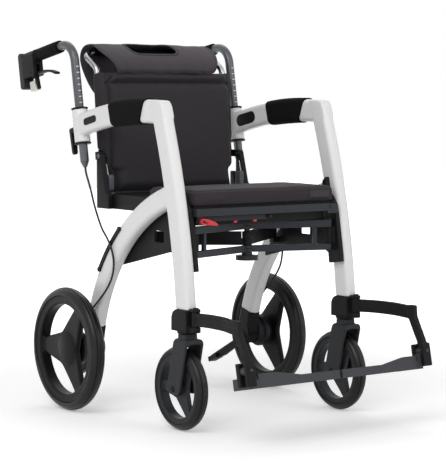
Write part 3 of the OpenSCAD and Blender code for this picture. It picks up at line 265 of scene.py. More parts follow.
# Anodised tube of the handles: mid grey, with a painted highlight: noise stretched along the tube paints a paler satin
# streak down its length.
DARK_TUBE = Finish("anodised_aluminium_tube", "#66686c", "#404145", Surface.DRAWN, 1.0, 0.015, 0.34, 0.05,
                   metallic=0.45, lean=(1.0, 1.0, 0.08))
# Bright drawn aluminium: silver with fine lines along the tube.
SILVER_TUBE = Finish("drawn_aluminium_bright", "#b4b6b8", "#a2a4a6", Surface.DRAWN, 0.9, 0.015, 0.26, 0.05,
                     metallic=1.0, lean=(1.0, 1.0, 0.08))
# Zinc-plated steel pins and axles: bright, slightly cloudy.
ZINC_STEEL = Finish("zinc_plated_steel", "#a4a6a8", "#909295", Surface.TURNED, 0.8, 0.01, 0.32, 0.06, metallic=1.0)
# Oxidised steel: near black with a dull metal shine.
BLACK_STEEL = Finish("oxidised_steel_black", "#2c2d30", "#222326", Surface.TURNED, 0.8, 0.01, 0.4, 0.06, metallic=0.8)
# Polyamide weave over foam: warm near-black. The real thread of 0.5 mm is drawn at 1.5 mm so that it shows.
SEAT_CLOTH = Finish("woven_polyamide_black", "#3c393c", "#2a272a", Surface.WOVEN, 1.5, 0.16, 0.8, specular=0.15,
                    sheen=0.08, patch_mm=120.0)
# The same weave as a single sheet, with a little sheen where light grazes it; its colour is painted paler than the
# seat's, as painted light for the light that falls on the flap.
LIT_FLAP_CLOTH = Finish("woven_polyamide_sheet", "#504b50", "#403c40", Surface.WOVEN, 1.5, 0.14, 0.78, specular=0.15,
                    sheen=0.1, patch_mm=120.0)
# The border of the cushion: the same weave with a brown cast.
SEAT_FRONT = Finish("woven_polyamide_brown", "#3a343a", "#2d2729", Surface.WOVEN, 1.5, 0.16, 0.8, specular=0.15,
                    sheen=0.08, patch_mm=120.0)
# Bound edge tape: a tighter, smoother weave than the cloth.
BINDING = Finish("woven_edge_tape", "#39353a", "#302c30", Surface.WOVEN, 1.0, 0.1, 0.7, specular=0.2, sheen=0.06)
# Sewing thread, a shade lighter than the cloth.
THREAD = Finish("sewing_thread_black", "#3a3639", "#302d2f", Surface.WOVEN, 0.8, 0.05, 0.7, specular=0.2, sheen=0.1)
# Woven tag: plain cool grey.
TAG_CLOTH = Finish("woven_tag_grey", "#3c3d42", "#333438", Surface.WOVEN, 1.0, 0.08, 0.7, specular=0.2, sheen=0.1)
# PVC cable jacket: black, smooth, half gloss.
CABLE_PVC = Finish("pvc_cable_jacket", "#1f1f21", "#18181a", Surface.MOULDED, 1.5, 0.02, 0.45, specular=0.3)
# Pad-printed ink of the height scale: flat off-white.
SCALE_INK = Finish("printed_ink_white", "#dcdcda", "#cecece", Surface.COATED, 2.0, 0.01, 0.5)


def limited(value: float, low: float = 0.0, high: float = 1.0) -> float:
    """Holds a value between two limits."""
    return min(max(value, low), high)


def ramp(value: float, start: float, end: float) -> float:
    """Rises smoothly from 0 at the start to 1 at the end."""
    t = limited((value - start) / (end - start))
    return t * t * (3 - 2 * t)


def bell(gap: float, width: float) -> float:
    """Falls smoothly from 1 where there is no gap to almost 0 at two widths."""
    return math.exp(-((gap / width) ** 2))


def full_turn(count: int) -> list[float]:
    """Divides a full turn into even angles."""
    return [2 * math.pi * k / count for k in range(count)]


def grid_cells(rows: int, columns: int) -> list[tuple[int, int, int, int]]:
    """Lists the corners of each cell of a grid of points, row by row."""
    w = columns + 1
    return [
        (i * w + j, i * w + j + 1, (i + 1) * w + j + 1, (i + 1) * w + j) for i in range(rows) for j in range(columns)
    ]


def leaning_point(origin: Point, lean: float, x: float, back: float, up: float) -> Vector:
    """Gives a point from measures along a piece that leans back.

    Args:
        origin: Where the measures start.
        lean: Its lean in degrees.
        x: Across the piece.
        back: Back, square to its lean.
        up: Up along its lean.

    Returns:
        The point in the frame.
    """
    turn = math.radians(lean)
    y = back * math.cos(turn) + up * math.sin(turn)
    z = -back * math.sin(turn) + up * math.cos(turn)
    return Vector((origin[0] + x, origin[1] + y, origin[2] + z))


def shade_smooth(data: bpy.types.Mesh) -> None:
    """Shades every face of a mesh smoothly."""
    data.polygons.foreach_set("use_smooth", [True] * len(data.polygons))


def modify(piece: bpy.types.Object, kind: str, **settings: object) -> bpy.types.Modifier:
    """Adds one modifier.

    Args:
        piece: Object that gets it.
        kind: Modifier type name.
        **settings: Attributes of the modifier.

    Returns:
        The new modifier.
    """
    made = piece.modifiers.new(kind.lower(), kind)
    for name, value in settings.items():
        setattr(made, name, value)
    return made


def link_object(name: str, data: bpy.types.ID) -> bpy.types.Object:
    """Links a new object to the scene."""
    made = bpy.data.objects.new(name, data)
    bpy.context.scene.collection.objects.link(made)
    return made


def mesh_object(
    name: str, points: Sequence[Sequence[float]], faces: Sequence[Sequence[int]], finish: Finish
) -> bpy.types.Object:
    """Makes a smooth-shaded mesh object.

    Args:
        name: Name of the piece.
        points: Vertices in metres.
        faces: Vertex numbers of each face.
        finish: Its material.

    Returns:
        The new object, linked to the scene.
    """
    data = bpy.data.meshes.new(name)
    data.from_pydata([tuple(p) for p in points], [], [tuple(f) for f in faces])
    work = bmesh.new()
    work.from_mesh(data)
    bmesh.ops.recalc_face_normals(work, faces=work.faces)
    work.to_mesh(data)
    work.free()
    shade_smooth(data)
    data.materials.append(finish.material())
    return link_object(name, data)


def skin(rows: int, n: int, base: int = 0, closed_ends: bool = True) -> list[tuple[int, ...]]:
    """Lists the faces that join a row of loops.

    Args:
        rows: Number of loops.
        n: Points of each loop.
        base: Number of the first point.
        closed_ends: Whether the first and last loops are filled.

    Returns:
        Point numbers of each face.
    """
    faces: list[tuple[int, ...]] = []
    for i in range(rows - 1):
        low, high = base + i * n, base + (i + 1) * n
        for j in range(n):
            k = (j + 1) % n
            faces.append((low + j, low + k, high + k, high + j))
    if closed_ends:
        faces.append(tuple(range(base, base + n)))
        faces.append(tuple(range(base + (rows - 1) * n, base + rows * n)))
    return faces


def loft(name: str, rings: Sequence[Sequence[Vector]], finish: Finish, closed_ends: bool = True) -> bpy.types.Object:
    """Joins a row of loops of the same count into a skin.

    Args:
        name: Name of the piece.
        rings: Loops of points.
        finish: Its material.
        closed_ends: Whether the first and last loops are filled.

    Returns:
        The lofted piece.
    """
    points = [p for ring in rings for p in ring]
    return mesh_object(name, points, skin(len(rings), len(rings[0]), closed_ends=closed_ends), finish)


def apply_modifiers(piece: bpy.types.Object) -> None:
    """Replaces the mesh of a piece by what its modifiers make of it.

    Args:
        piece: Mesh object with modifiers.
    """
    graph = bpy.context.evaluated_depsgraph_get()
    data = bpy.data.meshes.new_from_object(piece.evaluated_get(graph), depsgraph=graph)
    piece.modifiers.clear()
    old = piece.data
    piece.data = data
    bpy.data.meshes.remove(old)


def seat_piece(piece: bpy.types.Object, body: str, nodes: Iterable[str] = ()) -> None:
    """Lets a finished piece ride on its body and stand for its nodes.

    Args:
        piece: The finished piece.
        body: CAD body that it moves with.
        nodes: CAD nodes that it replaces.
    """
    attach(piece, body)
    if nodes:
        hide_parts(*nodes)
    LOG.info("%s rides on %s", piece.name, body)


def tube_mesh(name: str, path: Sequence[Vector], radius: float, sides: int, finish: Finish) -> bpy.types.Object:
    """Makes a round tube along a path, closed at both ends.

    Args:
        name: Name of the piece.
        path: Points in metres.
        radius: Radius in metres.
        sides: Corners of the section.
        finish: Its material.

    Returns:
        The tube.
    """
    rings: list[list[Vector]] = []
    side = (path[1] - path[0]).orthogonal().normalized()
    for i, spot in enumerate(path):
        along = (path[min(i + 1, len(path) - 1)] - path[max(i - 1, 0)]).normalized()
        side = (side - along * side.dot(along)).normalized()
        other = along.cross(side)
        rings.append([
            spot + radius * (side * math.cos(turn) + other * math.sin(turn)) for turn in full_turn(sides)
        ])
    return loft(name, rings, finish)


def smooth_path(route: Sequence[Sequence[float]], steps: int) -> list[Vector]:
    """Runs a smooth curve through points.

    Args:
        route: Points of any one dimension.
        steps: Points made for each stretch.

    Returns:
        Points along the curve.
    """
    p = [Vector(v) for v in route]
    out: list[Vector] = []
    for i in range(len(p) - 1):
        a, b, c, d = p[max(i - 1, 0)], p[i], p[i + 1], p[min(i + 2, len(p) - 1)]
        for k in range(steps):
            t = k / steps
            out.append(0.5 * (2 * b + (c - a) * t + (2 * a - 5 * b + 4 * c - d) * t**2
                              + (3 * b - a - 3 * c + d) * t**3))
    return out + [p[-1]]


@dataclass
class Casting:
    """A node whose real piece is one flowing moulding: its edges and joins are rounded over."""

    node: str
    body: str
    slot: str
    finish: Finish
    voxel_mm: float = 2.0
    passes: int = 8
    shape: Callable[[Vector], Vector] | None = None

    def build(self) -> None:
        """Rounds a copy of the node, moves its points as its shape says and lets it stand for the node."""
        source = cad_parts[self.node]
        data = source.data.copy()
        data.materials.clear()
        data.materials.append(self.finish.material())
        piece = link_object(f"{self.node}_cast", data)
        modify(piece, "WELD", merge_threshold=WELD_M)
        modify(piece, "REMESH", mode="VOXEL", voxel_size=self.voxel_mm * MM * 1.0)
        modify(piece, "SMOOTH", factor=0.5, iterations=self.passes)
        apply_modifiers(piece)
        if self.shape:
            for vertex in piece.data.vertices:
                vertex.co = self.shape(vertex.co)
        shade_smooth(piece.data)
        seat_piece(piece, self.body, [self.node])


def lean_drop(spot: Vector) -> Vector:
    """Draws the top of a footrest's drop tube back, so that the tube leans forward to its hinge."""
    lean, hinge_z, drop = 0.026, 0.198, 0.060
    arm_end, tube_front = 0.385, 0.465
    back = lean * limited((spot.z - hinge_z) / drop) * ramp(-spot.y, arm_end, tube_front)
    return spot + Vector((0, back, 0))


def trim_strip(spot: Vector) -> Vector:
    """Draws the top of a side plate's front strip back beside the cushion."""
    trim, strip_x = 0.020, 0.2
    if abs(spot.x) <= strip_x:
        return spot
    back = trim * ramp(spot.z, 0.508, 0.548) * ramp(-spot.y, 0.176, 0.196)
    return spot + Vector((0, back, 0))


def open_socket(spot: Vector) -> Vector:
    """Keeps the bore of a side frame's handle socket clear of the post that slides in it."""
    clear_r, socket_low = 0.0116, -0.30
    x, y, z = HANDLE_CORNER
    turn = math.radians(HANDLE_LEAN)
    side = math.copysign(1.0, spot.x)
    out = side * spot.x - x
    back = (spot.y - y) * math.cos(turn) - (spot.z - z) * math.sin(turn)
    up = (spot.y - y) * math.sin(turn) + (spot.z - z) * math.cos(turn)
    wide = math.hypot(out, back)
    if not 0 < wide < clear_r or up < socket_low:
        return spot
    clear = leaning_point(HANDLE_CORNER, HANDLE_LEAN, out * clear_r / wide, back * clear_r / wide, up)
    return Vector((side * clear.x, clear.y, clear.z))


def facing(spot: Point, aim: Point) -> Euler:
    """Turn that lets a camera or a lamp look from a spot at its aim."""
    return (Vector(aim) - Vector(spot)).to_track_quat("-Z", "Y").to_euler()


@dataclass
class Studio:
    """Camera of the photograph, white floor and soft light."""

    eye: Point = (-2.5487, -3.5690, 0.7792)
    aim: Point = (-0.1313, -0.2295, 0.4490)
    lens_mm: float = 134.57
    lamp_aim: Point = (0.0, 0.0, 0.4)
    floor_half: float = 9.0
    floor_z: float = -0.0005

    def build(self) -> None:
        """Sets the camera, the floor, the lamps and the world."""
        bpy.context.scene.view_settings.view_transform = "Standard"
        self._camera()
        self._floor()
        self._world()
        self._lamp("key", (-3.2, -2.0, 3.5), 3.2, 100)
        self._lamp("front", (1.4, -4.0, 2.5), 3.0, 43)
        self._lamp("rear", (1.0, 2.2, 3.6), 2.6, 24)

    def _camera(self) -> None:
        """Places the camera."""
        data = bpy.data.cameras.new("camera")
        data.sensor_fit = "AUTO"
        data.sensor_width = 36.0
        data.lens = self.lens_mm
        data.clip_end = 60.0
        camera = link_object("camera", data)
        camera.location = self.eye
        camera.rotation_euler = facing(self.eye, self.aim)
        bpy.context.scene.camera = camera

    def _floor(self) -> None:
        """Makes the pale floor, which keeps the shadow and fades into the white behind it."""
        h = self.floor_half
        made = bpy.data.materials.new("studio_floor_white")
        tree = fresh_tree(made)
        rays = add_node(tree, "ShaderNodeLightPath")
        seen = add_node(tree, "ShaderNodeMath", {"operation": "MAXIMUM"},
                        links={0: rays.outputs["Is Camera Ray"], 1: rays.outputs["Is Glossy Ray"]})
        place = add_node(tree, "ShaderNodeTexCoord")
        away = add_node(tree, "ShaderNodeVectorMath", {"operation": "LENGTH"}, links={0: place.outputs["Object"]})
        glow = add_node(tree, "ShaderNodeMapRange", {"interpolation_type": "SMOOTHSTEP"},
                        {"From Min": 0.7, "From Max": 2.4, "To Min": 0.26, "To Max": 1.0},
                        {"Value": away.outputs["Value"]})
        lift = add_node(tree, "ShaderNodeMath", {"operation": "MULTIPLY"},
                        links={0: seen.outputs[0], 1: glow.outputs["Result"]})
        shader = add_node(
            tree,
            "ShaderNodeBsdfPrincipled",
            values={"Base Color": (0.95, 0.95, 0.95, 1), "Roughness": 0.9, "Emission Color": (1, 1, 1, 1)},
            links={"Emission Strength": lift.outputs[0]},
        )
        add_node(tree, "ShaderNodeOutputMaterial", links={"Surface": shader.outputs["BSDF"]})
        data = bpy.data.meshes.new("floor")
        corners = ((-h, -h), (h, -h), (h, h), (-h, h))
        data.from_pydata([(x, y, self.floor_z) for x, y in corners], [], [(0, 1, 2, 3)])
        data.materials.append(made)
        floor = link_object("floor", data)

    def _world(self) -> None:
        """Lights softly from all round, and shows white behind the object."""
        world = bpy.data.worlds.new("studio")
        tree = fresh_tree(world)
        rays = add_node(tree, "ShaderNodeLightPath")
        sharp = add_node(tree, "ShaderNodeMath", {"operation": "MAXIMUM"},
                         links={0: rays.outputs["Is Camera Ray"], 1: rays.outputs["Is Transmission Ray"]})
        seen = add_node(tree, "ShaderNodeMath", {"operation": "MAXIMUM"},
                        links={0: sharp.outputs[0], 1: rays.outputs["Is Glossy Ray"]})
        level = add_node(tree, "ShaderNodeMapRange", values={"To Min": 0.42, "To Max": 1.0},
                         links={"Value": seen.outputs[0]})
        back = add_node(tree, "ShaderNodeBackground", values={"Color": (1, 1, 1, 1)},
                        links={"Strength": level.outputs["Result"]})
        add_node(tree, "ShaderNodeOutputWorld", links={"Surface": back.outputs["Background"]})
        bpy.context.scene.world = world

    def _lamp(self, name: str, spot: Point, size: float, watts: float) -> None:
        """Hangs a soft box that faces the object.

        Args:
            name: Name of the lamp.
            spot: Its place.
            size: Edge of the square in metres.
            watts: Its power.
        """
        data = bpy.data.lights.new(name, "AREA")
        data.size = size
        data.energy = watts
        lamp = link_object(name, data)
        lamp.location = spot
        lamp.rotation_euler = facing(spot, self.lamp_aim)


@dataclass
class BrakeCable:
    """Jacketed cable from the handle's plug down to the brake."""

    side: Side
    diameter: float = 0.005
    route_mm: tuple[Point, ...] = (
        (239.5, 207.9, 604), (239.5, 206.4, 595.4), (239.6, 202.6, 583), (241, 190, 564), (245, 172, 542),
        (252, 146, 510), (258, 118, 478), (262.5, 92, 452), (262.8, 70, 432), (261.5, 56, 412), (260, 48, 390),
        (258.6, 47, 366), (258.6, 54, 340), (258.6, 70, 316), (258.6, 92, 294), (260, 118, 272), (263, 142, 250),
        (267, 160, 230), (270, 171, 211), (271, 175, 198), (271, 175.6, 185.8),
    )

    def build(self) -> None:
        """Lays the cable on its route, its top following the handle."""
        route = [self.side.point(*spot) * MM for spot in self.route_mm]
        path = smooth_path(route, 6)
        cable = tube_mesh(f"{self.side.tag}_cable", path, self.diameter / 2, 14, CABLE_PVC)
        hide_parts(f"{self.side.tag}_brake_cable")
        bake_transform(cable)


def lathe(
    name: str, profile: Sequence[tuple[float, float]], centre: Vector, steps: int, finish: Finish
) -> bpy.types.Object:
    """Turns a closed outline round an axis along X.

    Args:
        name: Name of the piece.
        profile: Closed outline as (radius, x) in metres.
        centre: Centre of the wheel.
        steps: Segments of the turn.
        finish: Its material.

    Returns:
        The turned piece.
    """
    n = len(profile)
    points = [
        centre + Vector((x, r * math.cos(turn), r * math.sin(turn))) for turn in full_turn(steps) for r, x in profile
    ]
    faces = [
        (i * n + j, i * n + (j + 1) % n, ((i + 1) % steps) * n + (j + 1) % n, ((i + 1) % steps) * n + j)
        for i in range(steps) for j in range(n)
    ]
    return mesh_object(name, points, faces, finish)


@dataclass
class Tyre:
    """Soft solid tyre with a round section, two tread grooves and a line above the rim."""

    side: Side
    place: str
    diameter: float
    width: float
    wall: float
    centre: Point
    groove_deep: float = 0.0022
    groove_wide: float = 0.0013
    line_deep: float = 0.0009
    line_wide: float = 0.035
    line_at: float = 78.0

    def build(self) -> None:
        """Turns the tyre and lets it stand for its node."""
        r = self.width / 2
        mid = self.diameter / 2 - r
        bed = self.diameter / 2 - self.wall
        reach = math.acos((bed - mid) / r)
        groove, line = self.width / 5, math.radians(self.line_at)
        profile: list[tuple[float, float]] = []
        count = 120
        for i in range(count + 1):
            turn = -reach + 2 * reach * i / count
            x = r * math.sin(turn)
            sink = self.groove_deep * bell(abs(x) - groove, self.groove_wide)
            sink += self.line_deep * bell(abs(turn) - line, self.line_wide)
            profile.append((mid + (r - sink) * math.cos(turn), (r - sink) * math.sin(turn)))
        centre = self.side.point(*self.centre)
        piece = lathe(f"{self.side.tag}_{self.place}_tyre_round", profile, centre, 168, TYRE_PU)
        body = f"{self.side.tag}_{self.place}_wheel"
        seat_piece(piece, body, [f"{self.side.tag}_{self.place}_tyre"])


def swell(piece: bpy.types.Object, voxel_mm: float, cap_mm: float, pressure: float, frames: int = 20) -> None:
    """Blows up a padded piece a little as its filling does, with a cloth run.

    Args:
        piece: Closed mesh, a little smaller than the filled pad.
        voxel_mm: Cell of the even mesh that the cloth needs.
        cap_mm: Furthest that a point may move.
        pressure: Push of the filling.
        frames: Length of the run.
    """
    modify(piece, "REMESH", mode="VOXEL", voxel_size=voxel_mm * MM)
    apply_modifiers(piece)
    rest = [v.co.copy() for v in piece.data.vertices]
    cloth = modify(piece, "CLOTH")
    fabric = {"quality": 6, "mass": 0.25, "tension_stiffness": 18, "compression_stiffness": 18,
              "bending_stiffness": 0.6, "use_pressure": True, "uniform_pressure_force": pressure}
    for name, value in fabric.items():
        setattr(cloth.settings, name, value)
    cloth.settings.effector_weights.gravity = 0
    cloth.point_cache.frame_start = 1
    cloth.point_cache.frame_end = frames
    scene = bpy.context.scene
    for now in range(1, frames + 1):
        scene.frame_set(now)
    graph = bpy.context.evaluated_depsgraph_get()
    moved = [v.co.copy() for v in piece.evaluated_get(graph).data.vertices]
    piece.modifiers.clear()
    scene.frame_set(1)
    for vertex, start, end in zip(piece.data.vertices, rest, moved):
        step = end - start
        if step.length > cap_mm * MM:
            step.length = cap_mm * MM
        vertex.co = start + step
    shade_smooth(piece.data)
    piece.data.update()


def refine(piece: bpy.types.Object, levels: int = 1) -> None:
    """Adds smooth subdivision to a piece and applies it.

    Args:
        piece: Mesh object.
        levels: Number of subdivisions.
    """
    modify(piece, "SUBSURF", levels=levels, render_levels=levels)
    apply_modifiers(piece)
    shade_smooth(piece.data)


def press_in(piece: bpy.types.Object, depth: Callable[[Vector, Vector], float]) -> None:
    """Moves every point along its normal.

    Args:
        piece: Mesh object.
        depth: Gives the move in metres, outward, from the point and its normal.
    """
    data = piece.data
    moves = [(v.index, v.normal.copy() * depth(v.co, v.normal)) for v in data.vertices]
    for index, move in moves:
        data.vertices[index].co += move
    data.update()


def stitches(
    name: str, lines: Sequence[Sequence[Vector]], pitch: float, finish: Finish, radius: float = 0.0005
) -> bpy.types.Object:
    """Lays a row of thread stitches along each line, as one mesh.

    Args:
        name: Name of the piece.
        lines: Seam lines, in metres, on the cloth.
        pitch: Distance from stitch to stitch.
        finish: The thread.
        radius: Half the thread's thickness.

    Returns:
        The stitches.
    """
    points: list[Vector] = []
    faces: list[tuple[int, ...]] = []
    stitch = ((0.12, 0.35), (0.24, 1.0), (0.62, 1.0), (0.74, 0.35))
    sides = 6
    for line in lines:
        spots = even_points(line, pitch)
        for a, b in zip(spots, spots[1:]):
            along = (b - a).normalized()
            side = along.orthogonal().normalized()
            other = along.cross(side)
            faces += skin(len(stitch), sides, len(points))
            for t, share in stitch:
                for turn in full_turn(sides):
                    points.append(a.lerp(b, t) + radius * share * (side * math.cos(turn) + other * math.sin(turn)))
    return mesh_object(name, points, faces, finish)


def even_points(line: Sequence[Vector], pitch: float) -> list[Vector]:
    """Divides a line into even steps.

    Args:
        line: Points of the line.
        pitch: Wanted step.

    Returns:
        Points about a pitch apart.
    """
    lengths = [0.0]
    for a, b in zip(line, line[1:]):
        lengths.append(lengths[-1] + (b - a).length)
    count = max(2, round(lengths[-1] / pitch))
    out: list[Vector] = []
    i = 0
    for k in range(count + 1):
        want = lengths[-1] * k / count
        while i < len(lengths) - 2 and lengths[i + 1] < want:
            i += 1
        span = lengths[i + 1] - lengths[i]
        out.append(line[i].lerp(line[i + 1], (want - lengths[i]) / span if span > 0 else 0.0))
    return out


def rounded_loop(half_a: float, half_b: float, radius: float, corner: int, straight: int) -> list[tuple[float, float]]:
    """Walks round a rectangle with round corners.

    Args:
        half_a: Half its size along the first axis.
        half_b: Half its size along the second axis.
        radius: Corner radius.
        corner: Steps of each corner.
        straight: Steps of each side.

    Returns:
        Points of the closed loop.
    """
    out: list[tuple[float, float]] = []
    signs = ((1, 1), (-1, 1), (-1, -1), (1, -1))
    for q, (sa, sb) in enumerate(signs):
        ca, cb = sa * (half_a - radius), sb * (half_b - radius)
        for k in range(corner + 1):
            turn = math.pi / 2 * (q + k / corner)
            out.append((ca + radius * math.cos(turn), cb + radius * math.sin(turn)))
        na, nb = signs[(q + 1) % 4]
        end = math.pi / 2 * (q + 1)
        start_a, start_b = ca + radius * math.cos(end), cb + radius * math.sin(end)
        end_a, end_b = na * (half_a - radius) + radius * math.cos(end), nb * (half_b - radius) + radius * math.sin(end)
        for k in range(1, straight):
            t = k / straight
            out.append((start_a + (end_a - start_a) * t, start_b + (end_b - start_b) * t))
    return out


@dataclass
class SeatCushion:
    """Box cushion of foam in a sewn cover, with a seam along its top edge."""

    half_x: float = 0.210
    front_y: float = -0.227
    rear_y: float = -0.027
    low_z: float = 0.5202
    height: float = 0.041
    seam_z: float = 0.0355

    def build(self) -> None:
        """Makes, fills and sews the cushion."""
        half_y = (self.rear_y - self.front_y) / 2
        mid_y = (self.rear_y + self.front_y) / 2
        rows = ((0.012, 0.0005), (0.0045, 0.001), (0.0022, 0.003), (0.0014, 0.009), (0.0014, 0.020), (0.0016, 0.030),
                (0.0028, 0.0345), (0.006, 0.0368), (0.016, 0.0378), (0.040, 0.0385), (0.065, 0.0388), (0.088, 0.039))
        rings = []
        for inset, z in rows:
            loop = rounded_loop(self.half_x - inset, half_y - inset, max(0.011 - inset / 3, 0.003), 6, 24)
            rings.append([Vector((a, mid_y + b, self.low_z + z)) for a, b in loop])
        cushion = loft("seat_cushion_sewn", rings, SEAT_CLOTH)
        swell(cushion, 4.0, 1.8, 2.0)
        refine(cushion)
        press_in(cushion, self._seam)
        for vertex in cushion.data.vertices:
            self._keep_in(vertex.co)
        self._front_panel(cushion)
        seat_piece(cushion, "frame", ["seat_cushion"])
        self._tag()

    def _seam(self, spot: Vector, normal: Vector) -> float:
        """Depth of the edge seam and soft unevenness of the cover.

        Args:
            spot: Point of the cover.
            normal: Its normal.

        Returns:
            Move along the normal.
        """
        height = spot.z - self.low_z
        seam = -0.0016 * bell(height - self.seam_z, 0.0016) if normal.z < 0.93 else 0.0
        wave = 0.0011 * noise.noise(spot * 14.0) + 0.0005 * noise.noise(spot * 38.0)
        return seam + wave * (1.0 if normal.z > 0.5 else 0.6)

    def _keep_in(self, spot: Vector) -> None:
        """Holds a point in the room that the seat leaves, flat on its base.

        Args:
            spot: Point to move.
        """
        spot.x = limited(spot.x, -self.half_x, self.half_x)
        spot.y = limited(spot.y, self.front_y, self.rear_y)
        spot.z = limited(spot.z, self.low_z, self.low_z + self.height)

    def _front_panel(self, cushion: bpy.types.Object) -> None:
        """Gives the border below the seam its browner cloth.

        Args:
            cushion: The cushion.
        """
        cushion.data.materials.append(SEAT_FRONT.material())
        for face in cushion.data.polygons:
            if face.normal.z < 0.75 and face.center.z < self.low_z + self.seam_z:
                face.material_index = 1

    def _tag(self) -> None:
        """Sews a small bare tag on the front border, at the occupant's left."""
        mid, z = 0.161, self.low_z + 0.019
        loop = rounded_loop(0.029, 0.0085, 0.003, 5, 6)
        y = self.front_y + 0.0012
        rings = [
            [Vector((mid + a * s, y - d, z + b * s)) for a, b in loop]
            for s, d in ((1.0, -0.003), (1.0, 0.0008), (0.97, 0.0012), (0.6, 0.0013))
        ]
        seat_piece(loft("cushion_tag", rings, TAG_CLOTH), "frame")


@dataclass
class BackrestPad:
    """Upholstered pad: side borders, a big field, and a roll along the top with mitred ends."""

    half: float = 0.202
    low_half: float = 0.190
    low_up: float = 0.059
    low_step: float = 0.008
    field: float = 0.186
    low: Point = (0.0, 0.1890, 0.529)
    height: float = 0.310
    lean: float = BACK_LEAN
    seam_up: float = 0.279
    border: float = 0.018
    fill: float = 0.022
    reach: float = 0.2066
    tube: Point = (0.193, -0.0082, 0.0128)
    across: int = 96
    along: int = 72

    def _sleeve(self, sign: int, points: list[Vector], faces: list[tuple[int, ...]]) -> None:
        """Adds the cover's sleeve round one side tube, from above the pivot to the top.

        Args:
            sign: Side of the tube.
            points: Vertices of the pad, added to.
            faces: Faces of the pad, added to.
        """
        x, out, r = self.tube
        sides, ends = 16, (0.116, 0.307)
        faces.extend(skin(len(ends), sides, len(points)))
        for up in ends:
            for turn in full_turn(sides):
                points.append(self.place(sign * x + r * math.cos(turn), out + r * math.sin(turn), up))

    def place(self, x: float, out: float, up: float) -> Vector:
        """Turns measures across, forward of its back and up the pad to a point."""
        return leaning_point(self.low, self.lean, x, -out, up)

    def half_at(self, up: float) -> float:
        """Half width at a height, where the lower corners give way to the latches."""
        return self.low_half + (self.half - self.low_half) * limited((up - self.low_up) / self.low_step)

    def thickness(self, share: float, up: float) -> float:
        """Thickness of the filled pad.

        Args:
            share: Place across, from -1 to 1.
            up: Height along the pad.

        Returns:
            Thickness in metres.
        """
        def rise(d: float, w: float) -> float:
            return 0.0 if d <= 0 else 1.0 if d >= w else math.sin(math.pi / 2 * d / w)

        x = abs(share) * self.half
        edge = rise(self.half - x, 0.009) * rise(up, 0.009) * rise(self.height - up, 0.006)
        raised = rise(self.field - x, 0.018) * rise(up - 0.005, 0.022) * rise(self.height + 0.002 - up, 0.011)
        sewn = 1 - 0.55 * bell(up - self.seam_up, 0.008)
        crown = 0.0035 * (1 - share**2) * math.sin(math.pi * up / self.height)
        thin = 0.004
        return thin + (self.border - thin) * edge + (self.fill - 0.0015) * raised * sewn + crown * raised

    def build(self) -> None:
        """Makes, fills and sews the pad."""
        nx, nu = self.across, self.along
        front, rear = [], []
        for i in range(nu + 1):
            up = self.height * (0.5 - 0.5 * math.cos(math.pi * i / nu))
            for j in range(nx + 1):
                share = -math.cos(math.pi * j / nx)
                x = share * self.half_at(up)
                front.append(self.place(x, self.thickness(share, up), up))
                rear.append(self.place(x, 0.0, up))
        w = nx + 1
        at = len(front)
        faces: list[tuple[int, ...]] = []
        for a, b, c, d in grid_cells(nu, nx):
            faces += [(a, b, c, d), (at + d, at + c, at + b, at + a)]
        rim = list(range(w)) + [i * w + nx for i in range(1, nu + 1)]
        rim += [nu * w + j for j in range(nx - 1, -1, -1)] + [i * w for i in range(nu - 1, 0, -1)]
        for a, b in zip(rim, rim[1:] + rim[:1]):
            faces.append((a, b, at + b, at + a))
        points = front + rear
        for sign in (-1, 1):
            self._sleeve(sign, points, faces)
        pad = mesh_object("backrest_pad_sewn", points, faces, SEAT_CLOTH)
        swell(pad, 5.0, 4.0, 3.0)
        refine(pad, 2)
        press_in(pad, self._sew)
        for vertex in pad.data.vertices:
            vertex.co.x = limited(vertex.co.x, -self.reach, self.reach)
        seat_piece(pad, "backrest", ["backrest_pad"])

    def _sew(self, spot: Vector, normal: Vector) -> float:
        """Depth of the seams, the pull of the thread beside them and soft creases.

        Args:
            spot: Point of the cover.
            normal: Its normal.

        Returns:
            Move along the normal.
        """
        if normal.y > -0.2:
            return 0.0
        turn = math.radians(self.lean)
        up = (spot.z - self.low[2]) * math.cos(turn) + (spot.y - self.low[1]) * math.sin(turn)
        x = abs(spot.x)
        inside = self.field - 0.002
        level = abs(up - self.seam_up) if x < inside + 0.006 else 1.0
        upright = abs(x - inside * self.half_at(up) / self.half) if up < self.seam_up + 0.004 else 1.0
        mitre_x = inside - (up - self.seam_up) * 0.45
        mitre = abs(x - mitre_x) * 0.9 if up > self.seam_up - 0.002 else 1.0
        gap = min(level, upright, mitre)
        seam = -0.0046 * bell(gap, 0.0021) - 0.0022 * bell(gap, 0.007)
        pucker = 0.0005 * bell(gap, 0.016) * noise.noise(Vector((spot.x * 70, 0.0, spot.z * 34)))
        sag = Vector((spot.x * 9, 0.0, spot.z * 5 + spot.x * 3))
        crease = 0.0016 * noise.noise(sag) + 0.0007 * noise.noise(sag * 3.1)
        return seam + pucker + crease


